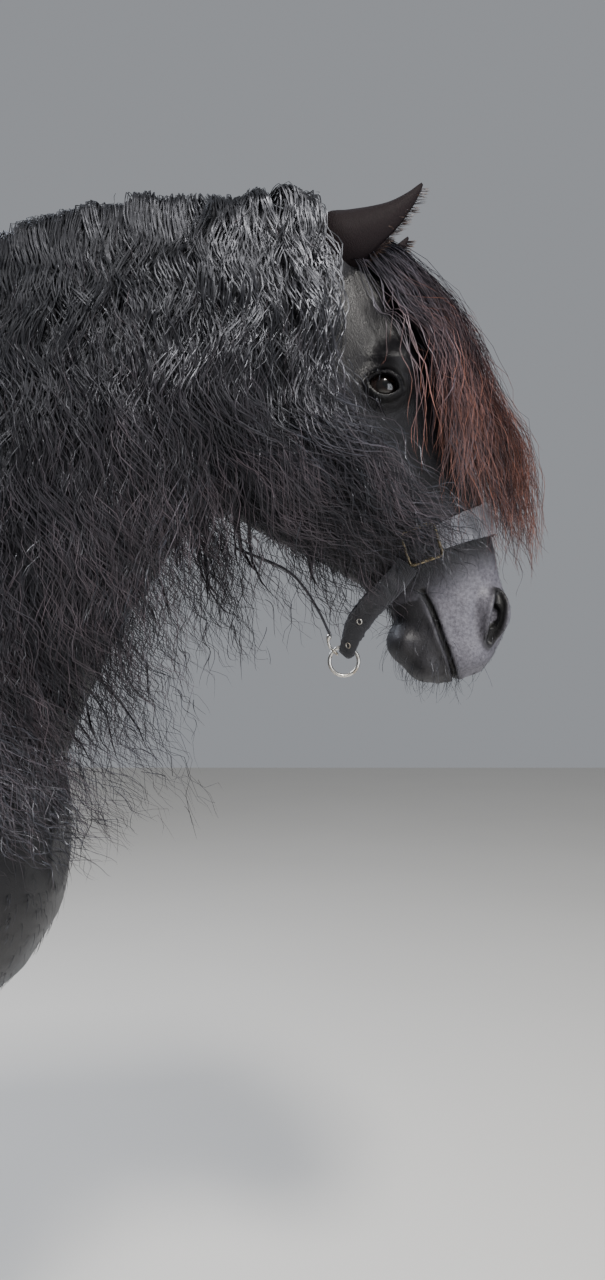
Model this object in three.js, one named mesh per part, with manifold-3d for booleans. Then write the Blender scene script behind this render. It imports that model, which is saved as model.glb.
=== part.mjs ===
// A life-size standing friesian horse in a head halter, as a still model, in millimetres, +Z up.
// +X is the way the horse faces, +Y its left side. It stands on four flat hooves at Z = 0.
import * as THREE from "three";
import { mergeVertices } from "three/addons/utils/BufferGeometryUtils.js";
import Module from "manifold-3d";

const wasm = await Module();
wasm.setup();

// Driving dimensions
const WITHERS = 1600; // height at the withers
const SIZE = WITHERS / 1600; // the tables below are for a horse of 1600 mm
const FACE_TILT = 19; // degrees that the line of the face stands forward of upright
const POLL = [1172, 1882]; // x and z where the line of the face meets the height of the poll
const STEP = 32; // how far each hoof stands before or behind square
const CENTRE_X = 155; // x of the middle of the whole horse, from tail to forelock
const GAP = 0.35; // between pieces that touch
const EYE_RADIUS = 23;
const HOOF_HEIGHT = 86;

const RIGHT = -1;
const LEFT = 1;
const SIDES = [
  ["right", RIGHT],
  ["left", LEFT],
];

// Small maths
const rad = THREE.MathUtils.degToRad;
const clamp = THREE.MathUtils.clamp;
const lerp = THREE.MathUtils.lerp;
const vec = (x, y, z) => new THREE.Vector3(x, y, z);

function random(seed) {
  let state = seed;
  return () => {
    state = (state * 1664525 + 1013904223) % 4294967296;
    return state / 4294967296;
  };
}

// Catmull-Rom through the values of a table's column.
function spline(values, t) {
  const last = values.length - 1;
  const i = clamp(Math.floor(t), 0, last - 1);
  const f = clamp(t - i, 0, 1);
  const [p0, p1, p2, p3] = [
    values[Math.max(i - 1, 0)],
    values[i],
    values[i + 1],
    values[Math.min(i + 2, last)],
  ];
  const m1 = (p2 - p0) / 2;
  const m2 = (p3 - p1) / 2;
  const d = p1 - p2;
  return p1 + f * (m1 + f * (-3 * d - 2 * m1 - m2 + f * (2 * d + m1 + m2)));
}

// The value at x of a line through [x, value] points, flat past its ends.
function graph(points, x) {
  if (x <= points[0][0]) return points[0][1];
  for (let i = 1; i < points.length; i++)
    if (x <= points[i][0]) {
      const [[x0, v0], [x1, v1]] = [points[i - 1], points[i]];
      return lerp(v0, v1, (x - x0) / (x1 - x0));
    }
  return points[points.length - 1][1];
}

// Smooth joining of two signed distances over a fillet of about k.
function join(a, b, k) {
  const h = Math.max(k - Math.abs(a - b), 0) / k;
  return Math.min(a, b) - (h * h * k) / 4;
}
const carve = (a, b, k) => -join(-a, b, k);

// The head's own axes: u runs down the face from the poll, v stands out of it.
const tilt = rad(FACE_TILT);
const U = [Math.sin(tilt), -Math.cos(tilt)];
const V = [Math.cos(tilt), Math.sin(tilt)];
const headXZ = (u, v) => [
  POLL[0] + u * U[0] + v * V[0],
  POLL[1] + u * U[1] + v * V[1],
];
const headPoint = (u, v, y) => {
  const [x, z] = headXZ(u, v);
  return vec(x, y, z);
};

// A body built of slices. A slice runs from a point a of the top or front line to a point b of the bottom or back
// line, is widest at the share m of the way from b to a, and has roundness na towards a and nb towards b.
class Slices {
  constructor(rows) {
    this.rows = rows;
    this.count = rows.length;
    this.columns = rows[0].map((_, k) => rows.map((row) => row[k]));
    this.planes = rows.map((row, i) => {
      const [ax, az, bx, bz] = row;
      const length = Math.hypot(ax - bx, az - bz);
      const next = rows[Math.min(i + 1, this.count - 1)];
      const back = rows[Math.max(i - 1, 0)];
      const forwardX = next[0] + next[2] - back[0] - back[2];
      const forwardZ = next[1] + next[3] - back[1] - back[3];
      let nx = (az - bz) / length;
      let nz = -(ax - bx) / length;
      if (nx * forwardX + nz * forwardZ < 0) [nx, nz] = [-nx, -nz];
      return { nx, nz, offset: nx * ax + nz * az };
    });
  }

  at(t) {
    const [ax, az, bx, bz, y, w, m, na, nb] = this.columns.map((c) =>
      spline(c, t),
    );
    const length = Math.hypot(ax - bx, az - bz);
    const e = [(ax - bx) / length, (az - bz) / length];
    const centre = [bx + m * (ax - bx), bz + m * (az - bz)];
    return { e, centre, y, w, up: (1 - m) * length, down: m * length, na, nb };
  }

  // Signed distance, roughly, of the point x, y, z.
  field(x, y, z) {
    const d = this.planes.map((p) => p.nx * x + p.nz * z - p.offset);
    const last = this.count - 1;
    let t = d[0] < 0 ? 0 : last;
    for (let i = 0; i < last; i++)
      if (d[i] >= 0 && d[i + 1] < 0) {
        t = i + d[i] / (d[i] - d[i + 1]);
        break;
      }
    const s = this.at(t);
    const v = (x - s.centre[0]) * s.e[0] + (z - s.centre[1]) * s.e[1];
    const side = y - s.y;
    const n = v > 0 ? s.na : s.nb;
    const r = Math.pow(
      Math.pow(Math.abs(side) / s.w, n) +
        Math.pow(Math.abs(v) / (v > 0 ? s.up : s.down), n),
      1 / n,
    );
    const out = Math.hypot(side, v) * (1 - 1 / Math.max(r, 0.05));
    return Math.max(out, -d[0], d[last]);
  }
}

// A muscle or bone: an ellipsoid spanned between two points, thick in the side view and across.
class Mass {
  constructor(from, to, thick, across) {
    const [a, b] = [vec(...from), vec(...to)];
    this.centre = a.clone().add(b).multiplyScalar(0.5);
    this.half = a.distanceTo(b) / 2 + 0.35 * thick;
    this.axis = b.clone().sub(a).setY(0).normalize();
    this.thick = thick;
    this.across = across;
  }

  field(x, y, z) {
    const [dx, dy, dz] = [
      x - this.centre.x,
      y - this.centre.y,
      z - this.centre.z,
    ];
    const along = dx * this.axis.x + dz * this.axis.z;
    const upright = dx * this.axis.z - dz * this.axis.x;
    const r = Math.hypot(
      along / this.half,
      upright / this.thick,
      dy / this.across,
    );
    return Math.hypot(dx, dy, dz) * (1 - 1 / Math.max(r, 0.05));
  }
}

// Body tables: [ax, az, bx, bz, y, half width, m, na, nb]
const torso = new Slices(
  [
    // x, top, bottom, half width, m, na, nb
    [770, 1120, 1010, 52, 0.5, 2, 2],
    [757, 1180, 965, 112, 0.5, 2, 2],
    [722, 1245, 908, 162, 0.48, 2, 2],
    [662, 1325, 866, 200, 0.46, 2, 2.1],
    [585, 1410, 846, 226, 0.45, 1.9, 2.1],
    [480, 1505, 836, 242, 0.42, 1.8, 2.1],
    [370, 1572, 828, 256, 0.4, 1.7, 2.1],
    [260, 1600, 822, 278, 0.4, 1.65, 2.1],
    [110, 1566, 818, 312, 0.43, 1.8, 2.1],
    [-80, 1524, 824, 336, 0.46, 2, 2.1],
    [-250, 1515, 848, 338, 0.48, 2.1, 2.1],
    [-400, 1532, 894, 318, 0.5, 2.2, 2],
    [-520, 1552, 950, 290, 0.52, 2.2, 2],
    [-640, 1545, 1000, 270, 0.54, 2.2, 2],
    [-740, 1502, 1040, 236, 0.55, 2.1, 2],
    [-820, 1430, 1090, 172, 0.55, 2, 2],
    [-864, 1345, 1150, 92, 0.5, 2, 2],
  ].map(([x, top, bottom, w, m, na, nb]) => [
    x,
    top,
    x,
    bottom,
    0,
    w,
    m,
    na,
    nb,
  ]),
);

const neck = new Slices([
  [180, 1550, 520, 900, 0, 150, 0.42, 1.7, 2],
  [300, 1596, 660, 985, 0, 168, 0.4, 1.6, 2],
  [420, 1662, 742, 1095, 0, 158, 0.4, 1.55, 2.1],
  [530, 1740, 780, 1190, 0, 142, 0.4, 1.5, 2.2],
  [640, 1808, 815, 1275, 0, 124, 0.4, 1.5, 2.2],
  [750, 1856, 852, 1350, 0, 108, 0.41, 1.5, 2.2],
  [860, 1878, 893, 1412, 0, 97, 0.43, 1.55, 2.2],
  [965, 1876, 928, 1462, 0, 90, 0.46, 1.65, 2.1],
  [1060, 1858, 965, 1500, 0, 85, 0.5, 1.8, 2],
  [1130, 1845, 1015, 1515, 0, 78, 0.5, 1.9, 2],
]);
const NECK_BASE = 1; // the neck's row where it leaves the torso
const NECK_END = 8; // and where the head begins

const head = new Slices(
  [
    // u and v of the top line, u and v of the jaw line, half width, m, na, nb
    [-60, -140, 262, -335, 74, 0.6, 2, 1.8],
    [-22, -96, 282, -322, 78, 0.6, 2, 1.8],
    [15, -50, 303, -308, 82, 0.6, 2.1, 1.8],
    [60, -18, 325, -292, 86, 0.62, 2.2, 1.9],
    [110, -3, 348, -272, 89, 0.64, 2.3, 2],
    [165, 4, 373, -248, 88, 0.66, 2.4, 2],
    [225, 4, 399, -222, 80, 0.66, 2.4, 2],
    [285, 1, 423, -200, 70, 0.62, 2.2, 2],
    [340, -1, 443, -182, 62, 0.58, 2.2, 2],
    [395, -2, 461, -168, 56, 0.54, 2.2, 2.1],
    [440, -3, 479, -157, 53, 0.52, 2.2, 2.1],
    [480, -3, 500, -150, 53, 0.5, 2.2, 2.1],
    [515, -2, 524, -150, 54, 0.5, 2.2, 2.1],
    [545, -8, 548, -155, 53, 0.5, 2.2, 2.2],
    [570, -22, 570, -152, 48, 0.5, 2.2, 2.2],
    [590, -42, 590, -140, 38, 0.5, 2.1, 2.1],
    [603, -62, 603, -122, 24, 0.5, 2, 2],
  ].map(([u, v, uu, vv, w, m, na, nb]) => [
    ...headXZ(u, v),
    ...headXZ(uu, vv),
    0,
    w,
    m,
    na,
    nb,
  ]),
);
const HEAD_START = 1; // the head's row on the cut at the poll and throat

// Legs: [z, front x, back x, y, half width, na, nb]. na and nb are the roundness at the front and the back.
const FORELEG = [
  [1120, 680, 380, 142, 64, 2, 2],
  [1010, 680, 372, 162, 86, 2, 2],
  [930, 656, 408, 163, 82, 2, 2],
  [860, 634, 444, 159, 73, 2, 2],
  [780, 617, 470, 155, 63, 2, 2],
  [690, 604, 492, 152, 53, 2, 2],
  [605, 598, 504, 150, 47, 2, 2],
  [548, 601, 498, 149, 51, 2.2, 2],
  [498, 605, 490, 149, 54, 2.4, 2],
  [450, 598, 500, 148, 49, 2.3, 2],
  [400, 588, 514, 147, 37, 2.1, 2],
  [320, 585, 516, 147, 33, 2, 2],
  [255, 587, 510, 147, 36, 2, 2],
  [208, 595, 497, 147, 44, 2, 2],
  [172, 602, 500, 147, 44, 2, 2],
  [134, 614, 522, 147, 42, 2, 2],
  [104, 627, 532, 147, 48, 2, 2],
  [78, 636, 526, 147, 58, 2, 2.2],
];
const HINDLEG = [
  [1200, -380, -850, 140, 108, 2, 2],
  [1090, -352, -842, 150, 112, 2, 2],
  [1010, -358, -822, 153, 106, 2, 2],
  [940, -404, -812, 153, 94, 2, 2],
  [870, -478, -822, 151, 82, 2, 1.9],
  [800, -556, -842, 149, 70, 2, 1.8],
  [730, -640, -868, 147, 58, 2, 1.7],
  [676, -706, -896, 146, 49, 2, 1.7],
  [636, -744, -908, 146, 48, 2.1, 1.8],
  [592, -762, -896, 146, 51, 2.2, 2],
  [548, -770, -876, 146, 49, 2.2, 2],
  [498, -778, -862, 146, 41, 2.1, 2],
  [420, -784, -858, 146, 35, 2, 2],
  [320, -784, -858, 146, 34, 2, 2],
  [255, -780, -864, 146, 38, 2, 2],
  [208, -771, -876, 146, 46, 2, 2],
  [172, -763, -870, 146, 45, 2, 2],
  [134, -750, -846, 146, 42, 2, 2],
  [104, -737, -834, 146, 48, 2, 2],
  [78, -728, -838, 146, 58, 2, 2.2],
];

// How far the leg is set forward at height z for a hoof that stands `step` before square.
const stride = (step, z) => step * clamp((1100 - z) / 1000, 0, 1);

function legSlices(table, side, step) {
  return new Slices(
    table.map(([z, front, back, y, w, na, nb]) => {
      const shift = stride(step, z);
      return [front + shift, z, back + shift, z, side * y, w, 0.5, na, nb];
    }),
  );
}
const LEGS = [
  { name: "foreleg_right", table: FORELEG, side: RIGHT, step: STEP },
  { name: "foreleg_left", table: FORELEG, side: LEFT, step: -STEP },
  { name: "hindleg_right", table: HINDLEG, side: RIGHT, step: -STEP },
  { name: "hindleg_left", table: HINDLEG, side: LEFT, step: STEP },
].map((leg) => ({ ...leg, slices: legSlices(leg.table, leg.side, leg.step) }));

// Muscles and bones: [from, to, thick, across, blend], with y on the left side and mirrored.
const BODY_MASSES = [
  [[350, 128, 1455], [650, 140, 1130], 105, 92, 60], // shoulder blade and its muscles
  [[430, 160, 1190], [480, 168, 960], 118, 84, 50], // triceps
  [[620, 128, 1140], [680, 132, 1010], 80, 80, 50], // point of the shoulder
  [[690, 60, 1100], [704, 60, 960], 56, 72, 40], // breast
  [[-340, 128, 1430], [-700, 140, 1340], 118, 128, 60], // croup
  [[-590, 150, 1300], [-540, 160, 1020], 168, 118, 60], // thigh
  [[-770, 105, 1330], [-762, 130, 1040], 84, 92, 50], // buttock
  [[-440, 158, 1090], [-410, 160, 1000], 66, 62, 40], // stifle
];
const HEAD_MASSES = [
  // [u, v, y] for both ends
  [[222, -186, 46], [318, -212, 44], 66, 42, 22], // cheek
  [[196, -50, 70], [250, -56, 74], 26, 34, 20], // brow over the eye
  [[266, -100, 68], [404, -96, 50], 15, 15, 16], // ridge of the cheekbone
  [[240, -14, 14], [500, -16, 14], 20, 32, 16], // nose bone
  [[518, -26, 36], [556, -44, 36], 27, 25, 14], // nostril
  [[560, -72, 18], [588, -84, 18], 32, 33, 14], // upper lip
  [[560, -130, 12], [586, -128, 12], 19, 34, 10], // lower lip
  [[522, -144, 8], [552, -148, 8], 20, 36, 12], // chin
  [[50, -84, 50], [84, -70, 54], 24, 28, 18], // root of the ear
];
const HEAD_HOLLOWS = [
  [[140, -46, 98], [182, -36, 96], 17, 20, 20], // hollow above the eye
  [[330, -66, 82], [430, -60, 74], 16, 16, 20], // flat below the cheekbone
];

const mirrored = (rows, toWorld) =>
  rows.flatMap(([from, to, thick, across, blend]) =>
    SIDES.map(([, side]) => ({
      mass: new Mass(toWorld(from, side), toWorld(to, side), thick, across),
      blend,
    })),
  );
const onBody = ([x, y, z], side) => [x, side * y, z];
const onHead = ([u, v, y], side) => {
  const [x, z] = headXZ(u, v);
  return [x, side * y, z];
};
const bodyMasses = mirrored(BODY_MASSES, onBody);
const headMasses = mirrored(HEAD_MASSES, onHead);
const headHollows = mirrored(HEAD_HOLLOWS, onHead);

// Signed distances of the parts of the body
const FILLET_NECK = 90;
const FILLET_HEAD = 34;
const FILLET_LEG = 46;

function trunkField(x, y, z) {
  let f = torso.field(x, y, z);
  for (const { mass, blend } of bodyMasses)
    f = join(f, mass.field(x, y, z), blend);
  return join(f, neck.field(x, y, z), FILLET_NECK);
}

function headField(x, y, z) {
  let f = head.field(x, y, z);
  for (const { mass, blend } of headMasses)
    f = join(f, mass.field(x, y, z), blend);
  for (const { mass, blend } of headHollows)
    f = carve(f, mass.field(x, y, z), blend);
  return f;
}

function upperField(x, y, z) {
  if (x < 700) return trunkField(x, y, z);
  if (z < 1180) return trunkField(x, y, z);
  return join(trunkField(x, y, z), headField(x, y, z), FILLET_HEAD);
}

function bodyField(x, y, z) {
  let f = upperField(x, y, z);
  if (z < 1250)
    for (const leg of LEGS) f = join(f, leg.slices.field(x, y, z), FILLET_LEG);
  return f;
}

function gradient(field, p) {
  const h = 1.5;
  return vec(
    field(p.x + h, p.y, p.z) - field(p.x - h, p.y, p.z),
    field(p.x, p.y + h, p.z) - field(p.x, p.y - h, p.z),
    field(p.x, p.y, p.z + h) - field(p.x, p.y, p.z - h),
  ).normalize();
}

// The nearest place on the skin to a point near it.
function onSurface(point) {
  const p = point.clone();
  for (let i = 0; i < 8; i++)
    p.addScaledVector(gradient(bodyField, p), -bodyField(p.x, p.y, p.z));
  return p;
}

// Distance from a point inside along a direction to the surface of a field.
function reach(field, from, direction, most = 900) {
  const f = (r) =>
    field(
      from.x + direction.x * r,
      from.y + direction.y * r,
      from.z + direction.z * r,
    );
  const step = 12;
  let far = step;
  while (f(far) < 0 && far < most) far += step;
  let near = far - step;
  for (let i = 0; i < 16; i++) {
    const middle = (near + far) / 2;
    if (f(middle) < 0) near = middle;
    else far = middle;
  }
  return near;
}

// Closed solids from vertices and triangles
function solid(points, triangles) {
  const made = new wasm.Manifold(
    new wasm.Mesh({
      numProp: 3,
      vertProperties: new Float32Array(points.flatMap((p) => [p.x, p.y, p.z])),
      triVerts: new Uint32Array(triangles.flat()),
    }),
  );
  return made;
}

function fromGeometry(geometry) {
  const bare = geometry.clone();
  bare.deleteAttribute("normal");
  bare.deleteAttribute("uv");
  return fromArrays(mergeVertices(bare, 1e-3));
}

function fromArrays(merged) {
  return new wasm.Manifold(
    new wasm.Mesh({
      numProp: 3,
      vertProperties: new Float32Array(merged.attributes.position.array),
      triVerts: new Uint32Array(merged.index.array),
    }),
  );
}

function toGeometry(made) {
  const mesh = made.getMesh();
  const geometry = new THREE.BufferGeometry();
  geometry.setAttribute(
    "position",
    new THREE.BufferAttribute(new Float32Array(mesh.vertProperties), 3),
  );
  geometry.setIndex(
    new THREE.BufferAttribute(new Uint32Array(mesh.triVerts), 1),
  );
  geometry.computeVertexNormals();
  return geometry;
}

const union = (solids) => solids.reduce((all, s) => all.add(s));
const largest = (made) =>
  made.decompose().sort((a, b) => b.volume() - a.volume())[0];

// A closed skin over rings of points. Each end is closed round a point in the middle of its ring.
function skinOver(rings, closeStart = true) {
  const sides = rings[0].length;
  const points = rings.flat();
  const triangles = [];
  for (let i = 0; i + 1 < rings.length; i++)
    for (let k = 0; k < sides; k++) {
      const [a, b] = [i * sides + k, i * sides + ((k + 1) % sides)];
      const [c, d] = [a + sides, b + sides];
      const even = points[a].distanceTo(points[d]) < points[b].distanceTo(points[c]);
      if (even) triangles.push([a, b, d], [a, d, c]);
      else triangles.push([a, b, c], [b, d, c]);
    }
  const middle = (ring) =>
    ring.reduce((sum, p) => sum.add(p), vec(0, 0, 0)).divideScalar(ring.length);
  const first = points.length;
  points.push(middle(rings[0]), middle(rings[rings.length - 1]));
  const base = (rings.length - 1) * sides;
  for (let k = 0; k < sides; k++) {
    const next = (k + 1) % sides;
    if (closeStart) triangles.push([first, next, k]);
    triangles.push([first + 1, base + k, base + next]);
  }
  const made = solid(points, triangles);
  if (made.volume() > 0) return made;
  return solid(
    points,
    triangles.map(([a, b, c]) => [a, c, b]),
  );
}

// The point of a ring of a sliced body at an angle, 0 at a and 180 degrees at b, on a field's surface.
function ringPoint(slices, t, angle, field, outset = 0) {
  const s = slices.at(t);
  const tall = (s.up + s.down) / 2;
  const cos = Math.cos(angle) * tall;
  const sin = Math.sin(angle) * s.w;
  const direction = vec(cos * s.e[0], sin, cos * s.e[1]).normalize();
  const from = vec(s.centre[0], s.y, s.centre[1]);
  const r = reach(field, from, direction) + outset;
  return from.addScaledVector(direction, r);
}

function ringsOf(slices, ts, sides, field, outset = 0) {
  return ts.map((t) =>
    Array.from({ length: sides }, (_, k) =>
      ringPoint(slices, t, (2 * Math.PI * k) / sides, field, outset),
    ),
  );
}

const range = (from, to, count) =>
  Array.from({ length: count }, (_, i) =>
    lerp(from, to, i / Math.max(count - 1, 1)),
  );

// Locks of long hair. A lock follows a path of points and stands flat on the skin below it.
const LOCK_FACES = [
  // across and out of the lock, as shares of its width and thickness
  [-0.5, -0.35],
  [0.5, -0.35],
  [0, 0.65],
];

function lockOver(path, normals, width, thick, taper) {
  const rings = [];
  const last = path.length - 1;
  for (let i = 0; i < last; i++) {
    const along = path[i + 1]
      .clone()
      .sub(path[Math.max(i - 1, 0)])
      .normalize();
    const across = along.clone().cross(normals[i]).normalize();
    const out = across.clone().cross(along).normalize();
    const share = taper(i / last);
    rings.push(
      LOCK_FACES.map(([a, b]) =>
        path[i]
          .clone()
          .addScaledVector(across, a * width * share)
          .addScaledVector(out, b * thick * Math.sqrt(share)),
      ),
    );
  }
  const sides = LOCK_FACES.length;
  const points = [...rings.flat(), path[last]];
  const triangles = [[0, 2, 1]];
  const tip = points.length - 1;
  for (let i = 0; i < rings.length; i++)
    for (let k = 0; k < sides; k++) {
      const [a, b] = [i * sides + k, i * sides + ((k + 1) % sides)];
      if (i + 1 < rings.length)
        triangles.push([a, b, a + sides], [b, b + sides, a + sides]);
      else triangles.push([a, b, tip]);
    }
  const made = solid(points, triangles);
  if (made.volume() > 0) return made;
  return solid(
    points,
    triangles.map(([a, b, c]) => [a, c, b]),
  );
}

// A path of hair: it leaves the root the given way, bends into the flow and is held off the skin.
function hairPath({ root, start, flow, length, rest, wave, count, field }) {
  const fine = 14;
  const steps = Math.max(Math.round(length / fine), count);
  const step = length / steps;
  const p = root.clone();
  let way = start.clone().normalize();
  const track = [p.clone()];
  for (let i = 0; i < steps; i++) {
    const target = flow(p, i / steps);
    way = way.multiplyScalar(0.7).addScaledVector(target, 0.3).normalize();
    p.addScaledVector(way, step);
    const held = rest((i + 1) / steps) * clamp((i + 1) / 5, 0.1, 1);
    const f = field(p.x, p.y, p.z);
    if (f < held) p.addScaledVector(gradient(field, p), Math.min(held - f, 9));
    else if (f < 110)
      p.addScaledVector(gradient(field, p), -Math.min(f - held, 0.22 * step));
    track.push(p.clone());
  }
  const path = [];
  const normals = [];
  for (let i = 0; i <= count; i++) {
    const share = i / count;
    const at = track[Math.round(share * steps)].clone();
    const ahead = track[Math.min(Math.round(share * steps) + 1, steps)];
    const behind = track[Math.max(Math.round(share * steps) - 1, 0)];
    const along = ahead.clone().sub(behind).normalize();
    const normal = gradient(field, at);
    if (i > 0) normal.addScaledVector(normals[i - 1], 1.3).normalize();
    const across = along.clone().cross(normal).normalize();
    const swing = wave.size * Math.min(1, 3 * share);
    const turn = (2 * Math.PI * share * length) / wave.length + wave.phase;
    at.addScaledVector(across, swing * Math.sin(turn));
    at.addScaledVector(normal, 0.35 * swing * (1 + Math.cos(turn)));
    path.push(at);
    normals.push(normal);
  }
  return { path, normals };
}

// Swells from the root, is full over most of its length and ends in a fine tip.
const lockTaper = (s) =>
  (0.55 + 0.45 * Math.min(1, 5 * s)) * Math.pow(1 - s, 0.55) + 0.06;

// How steeply the mane falls at height z, in degrees below level. The wind lays it forward lower down, and most at
// the poll, where it crosses the cheek.
const FALL = [
  [1060, 46],
  [1200, 62],
  [1320, 72],
  [1450, 78],
  [1600, 83],
  [1860, 89],
];
const FALL_AT_POLL = [
  [1250, 26],
  [1400, 40],
  [1520, 54],
  [1640, 68],
  [1760, 79],
  [1860, 88],
];

function windFlow(p, poll) {
  const angle = rad(lerp(graph(FALL, p.z), graph(FALL_AT_POLL, p.z), poll));
  return vec(Math.cos(angle), 0, -Math.sin(angle));
}

// Mane: locks in two layers from the crest, all fallen to the right side
const MANE = { lanes: 16, layers: 2, width: 44, thick: 12, points: 7, seed: 8 };

function maneLocks() {
  const draw = random(MANE.seed);
  const locks = [];
  for (let layer = 0; layer < MANE.layers; layer++)
    for (let lane = 0; lane < MANE.lanes; lane++) {
      const share = (lane + 0.5 * layer + 0.3) / MANE.lanes;
      const t = lerp(1.35, 7.85, Math.pow(Math.min(share, 1), 0.9));
      const poll = clamp((t - 6.15) / 1.3, 0, 1);
      const s = neck.at(t);
      const crest = vec(
        s.centre[0] + s.e[0] * s.up,
        0,
        s.centre[1] + s.e[1] * s.up,
      );
      const inward = vec(-s.e[0], 0, -s.e[1]);
      const root = crest.addScaledVector(inward, 20).setY(-9 - 5 * layer);
      const length =
        graph(
          [
            [1, 560],
            [2.5, 760],
            [4, 800],
            [5.5, 720],
            [6.3, 640],
            [7, 640],
            [8, 540],
          ],
          t,
        ) * lerp(0.86, 1.08, draw());
      const { path, normals } = hairPath({
        root,
        start: vec(0.1 + 0.3 * poll, -0.5 - 0.5 * poll, 1 - 0.5 * poll),
        flow: (p) => windFlow(p, poll),
        length,
        rest: () => 15 + 20 * layer,
        wave: {
          size: 9,
          length: 190,
          phase: 0.55 * lane + 2.4 * layer,
        },
        count: MANE.points,
        field: bodyField,
      });
      locks.push(
        lockOver(path, normals, MANE.width, MANE.thick, lockTaper),
      );
    }
  return locks;
}

// Forelock: from between the ears over the forehead, blown forward down the face
const FORELOCK = { locks: 11, rows: 3, width: 36, thick: 11, points: 5, seed: 11 };

function forelockLocks() {
  const draw = random(FORELOCK.seed);
  return Array.from({ length: FORELOCK.locks }, (_, i) => {
    const row = i % FORELOCK.rows;
    const across = lerp(-1, 1, (i + 0.5) / FORELOCK.locks);
    const root = onSurface(headPoint(26 + 40 * Math.abs(across), -20, 52 * across));
    root.addScaledVector(gradient(bodyField, root), -12);
    const { path, normals } = hairPath({
      root,
      start: vec(V[0] + 0.3, across * 0.5, V[1] + 0.2),
      flow: (p, share) =>
        vec(U[0], 0, U[1])
          .addScaledVector(vec(V[0], 0, V[1]), 0.3 + 0.2 * row - (0.75 + 0.2 * row) * share)
          .add(vec(0, 0.12 * across, 0))
          .normalize(),
      length: lerp(430, 520, draw()) - 50 * Math.abs(across),
      rest: (share) => 13 + 26 * row * Math.sin(Math.PI * Math.min(share, 0.97)),
      wave: { size: 6, length: 210, phase: 1.1 * i },
      count: FORELOCK.points,
      field: bodyField,
    });
    return lockOver(
      path,
      normals,
      FORELOCK.width,
      FORELOCK.thick,
      lockTaper,
    );
  });
}

// Tail: the dock and locks down to just above the ground
const DOCK = [
  [-800, 1435],
  [-872, 1408],
  [-918, 1340],
  [-934, 1250],
  [-938, 1150],
].map(([x, z]) => vec(x, 0, z));
const TAIL = { locks: 13, width: 70, thick: 22, points: 6, seed: 5, tip: 95 };

function dockSolid() {
  const curve = new THREE.CatmullRomCurve3(DOCK);
  const sides = 10;
  const rings = range(0, 1, 8).map((s) => {
    const at = curve.getPoint(s);
    const along = curve.getTangent(s);
    const out = vec(along.z, 0, -along.x);
    return Array.from({ length: sides }, (_, k) => {
      const angle = (2 * Math.PI * k) / sides;
      const r = lerp(34, 17, s);
      return at
        .clone()
        .addScaledVector(out, r * Math.cos(angle))
        .addScaledVector(vec(0, 1, 0), r * Math.sin(angle));
    });
  });
  return skinOver(rings);
}

function tailLocks() {
  const draw = random(TAIL.seed);
  const curve = new THREE.CatmullRomCurve3(DOCK);
  return Array.from({ length: TAIL.locks }, (_, i) => {
    const turn = (i * 137.5) % 360;
    const share = (i + 0.5) / TAIL.locks;
    const on = lerp(0.34, 0.97, share);
    const root = curve.getPoint(on);
    const angle = rad(turn);
    const out = vec(-Math.cos(angle) * 0.85, Math.sin(angle) * 1.15, 0);
    const spread = lerp(48, 112, draw());
    const length = (root.z - TAIL.tip) * lerp(0.84, 0.99, draw());
    const path = [];
    const normals = [];
    for (let k = 0; k <= TAIL.points; k++) {
      const s = k / TAIL.points;
      const swell = Math.sin(Math.PI * Math.min(1, 0.12 + 0.8 * s));
      const wave = 9 * Math.min(1, 3 * s) * Math.sin(6.2 * s + i * 0.9);
      const at = root
        .clone()
        .add(vec(-26 * swell - 10 * s, wave, -length * s))
        .addScaledVector(out, 6 + spread * swell);
      path.push(at);
      normals.push(out.clone().setZ(0.05).normalize());
    }
    path[0].copy(root);
    return lockOver(path, normals, TAIL.width, TAIL.thick, lockTaper);
  });
}

// Feather: long hair from the back of the cannon and round the fetlock, over the hoof. Tiers: height of the roots on a
// forefoot and a hind foot, locks, how far round from the back they grow (degrees), height off the skin.
const FEATHER = { width: 60, thick: 12, seed: 3, tip: 26 };
const FEATHER_TIERS = [
  { fore: 170, hind: 170, locks: 7, open: 160, off: 7, points: 3 },
  { fore: 255, hind: 262, locks: 4, open: 100, off: 14, points: 4 },
  { fore: 372, hind: 396, locks: 1, open: 0, off: 9, points: 5 },
];

function featherLocks(leg) {
  const draw = random(FEATHER.seed);
  const end = leg.name.startsWith("fore") ? "fore" : "hind";
  return FEATHER_TIERS.flatMap((tier) =>
    Array.from({ length: tier.locks }, (_, i) => {
      const z = tier[end] - 22 * draw();
      const share = lerp(-1, 1, (i + 0.5) / tier.locks);
      const angle = rad(180 + share * tier.open);
      const ring = leg.slices.at(rowAtHeight(leg.table, z));
      const from = vec(ring.centre[0], ring.y, z);
      const out = vec(Math.cos(angle), Math.sin(angle), 0);
      const root = from
        .clone()
        .addScaledVector(out, reach(bodyField, from, out, 200) - 12);
      const { path, normals } = hairPath({
        root,
        start: out.clone().setZ(-0.5),
        flow: (p, along) =>
          vec(-0.08, 0, -1)
            .addScaledVector(out, 0.2 - 0.2 * along)
            .normalize(),
        length: (z - FEATHER.tip) * lerp(0.9, 1.02, draw()),
        rest: () => tier.off,
        wave: { size: 3, length: 120, phase: i },
        count: tier.points,
        field: hoofAndBody,
      });
      return lockOver(path, normals, FEATHER.width, FEATHER.thick, lockTaper);
    }),
  );
}

function rowAtHeight(table, z) {
  for (let i = 1; i < table.length; i++)
    if (table[i][0] <= z)
      return i - 1 + (table[i - 1][0] - z) / (table[i - 1][0] - table[i][0]);
  return table.length - 1;
}

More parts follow.
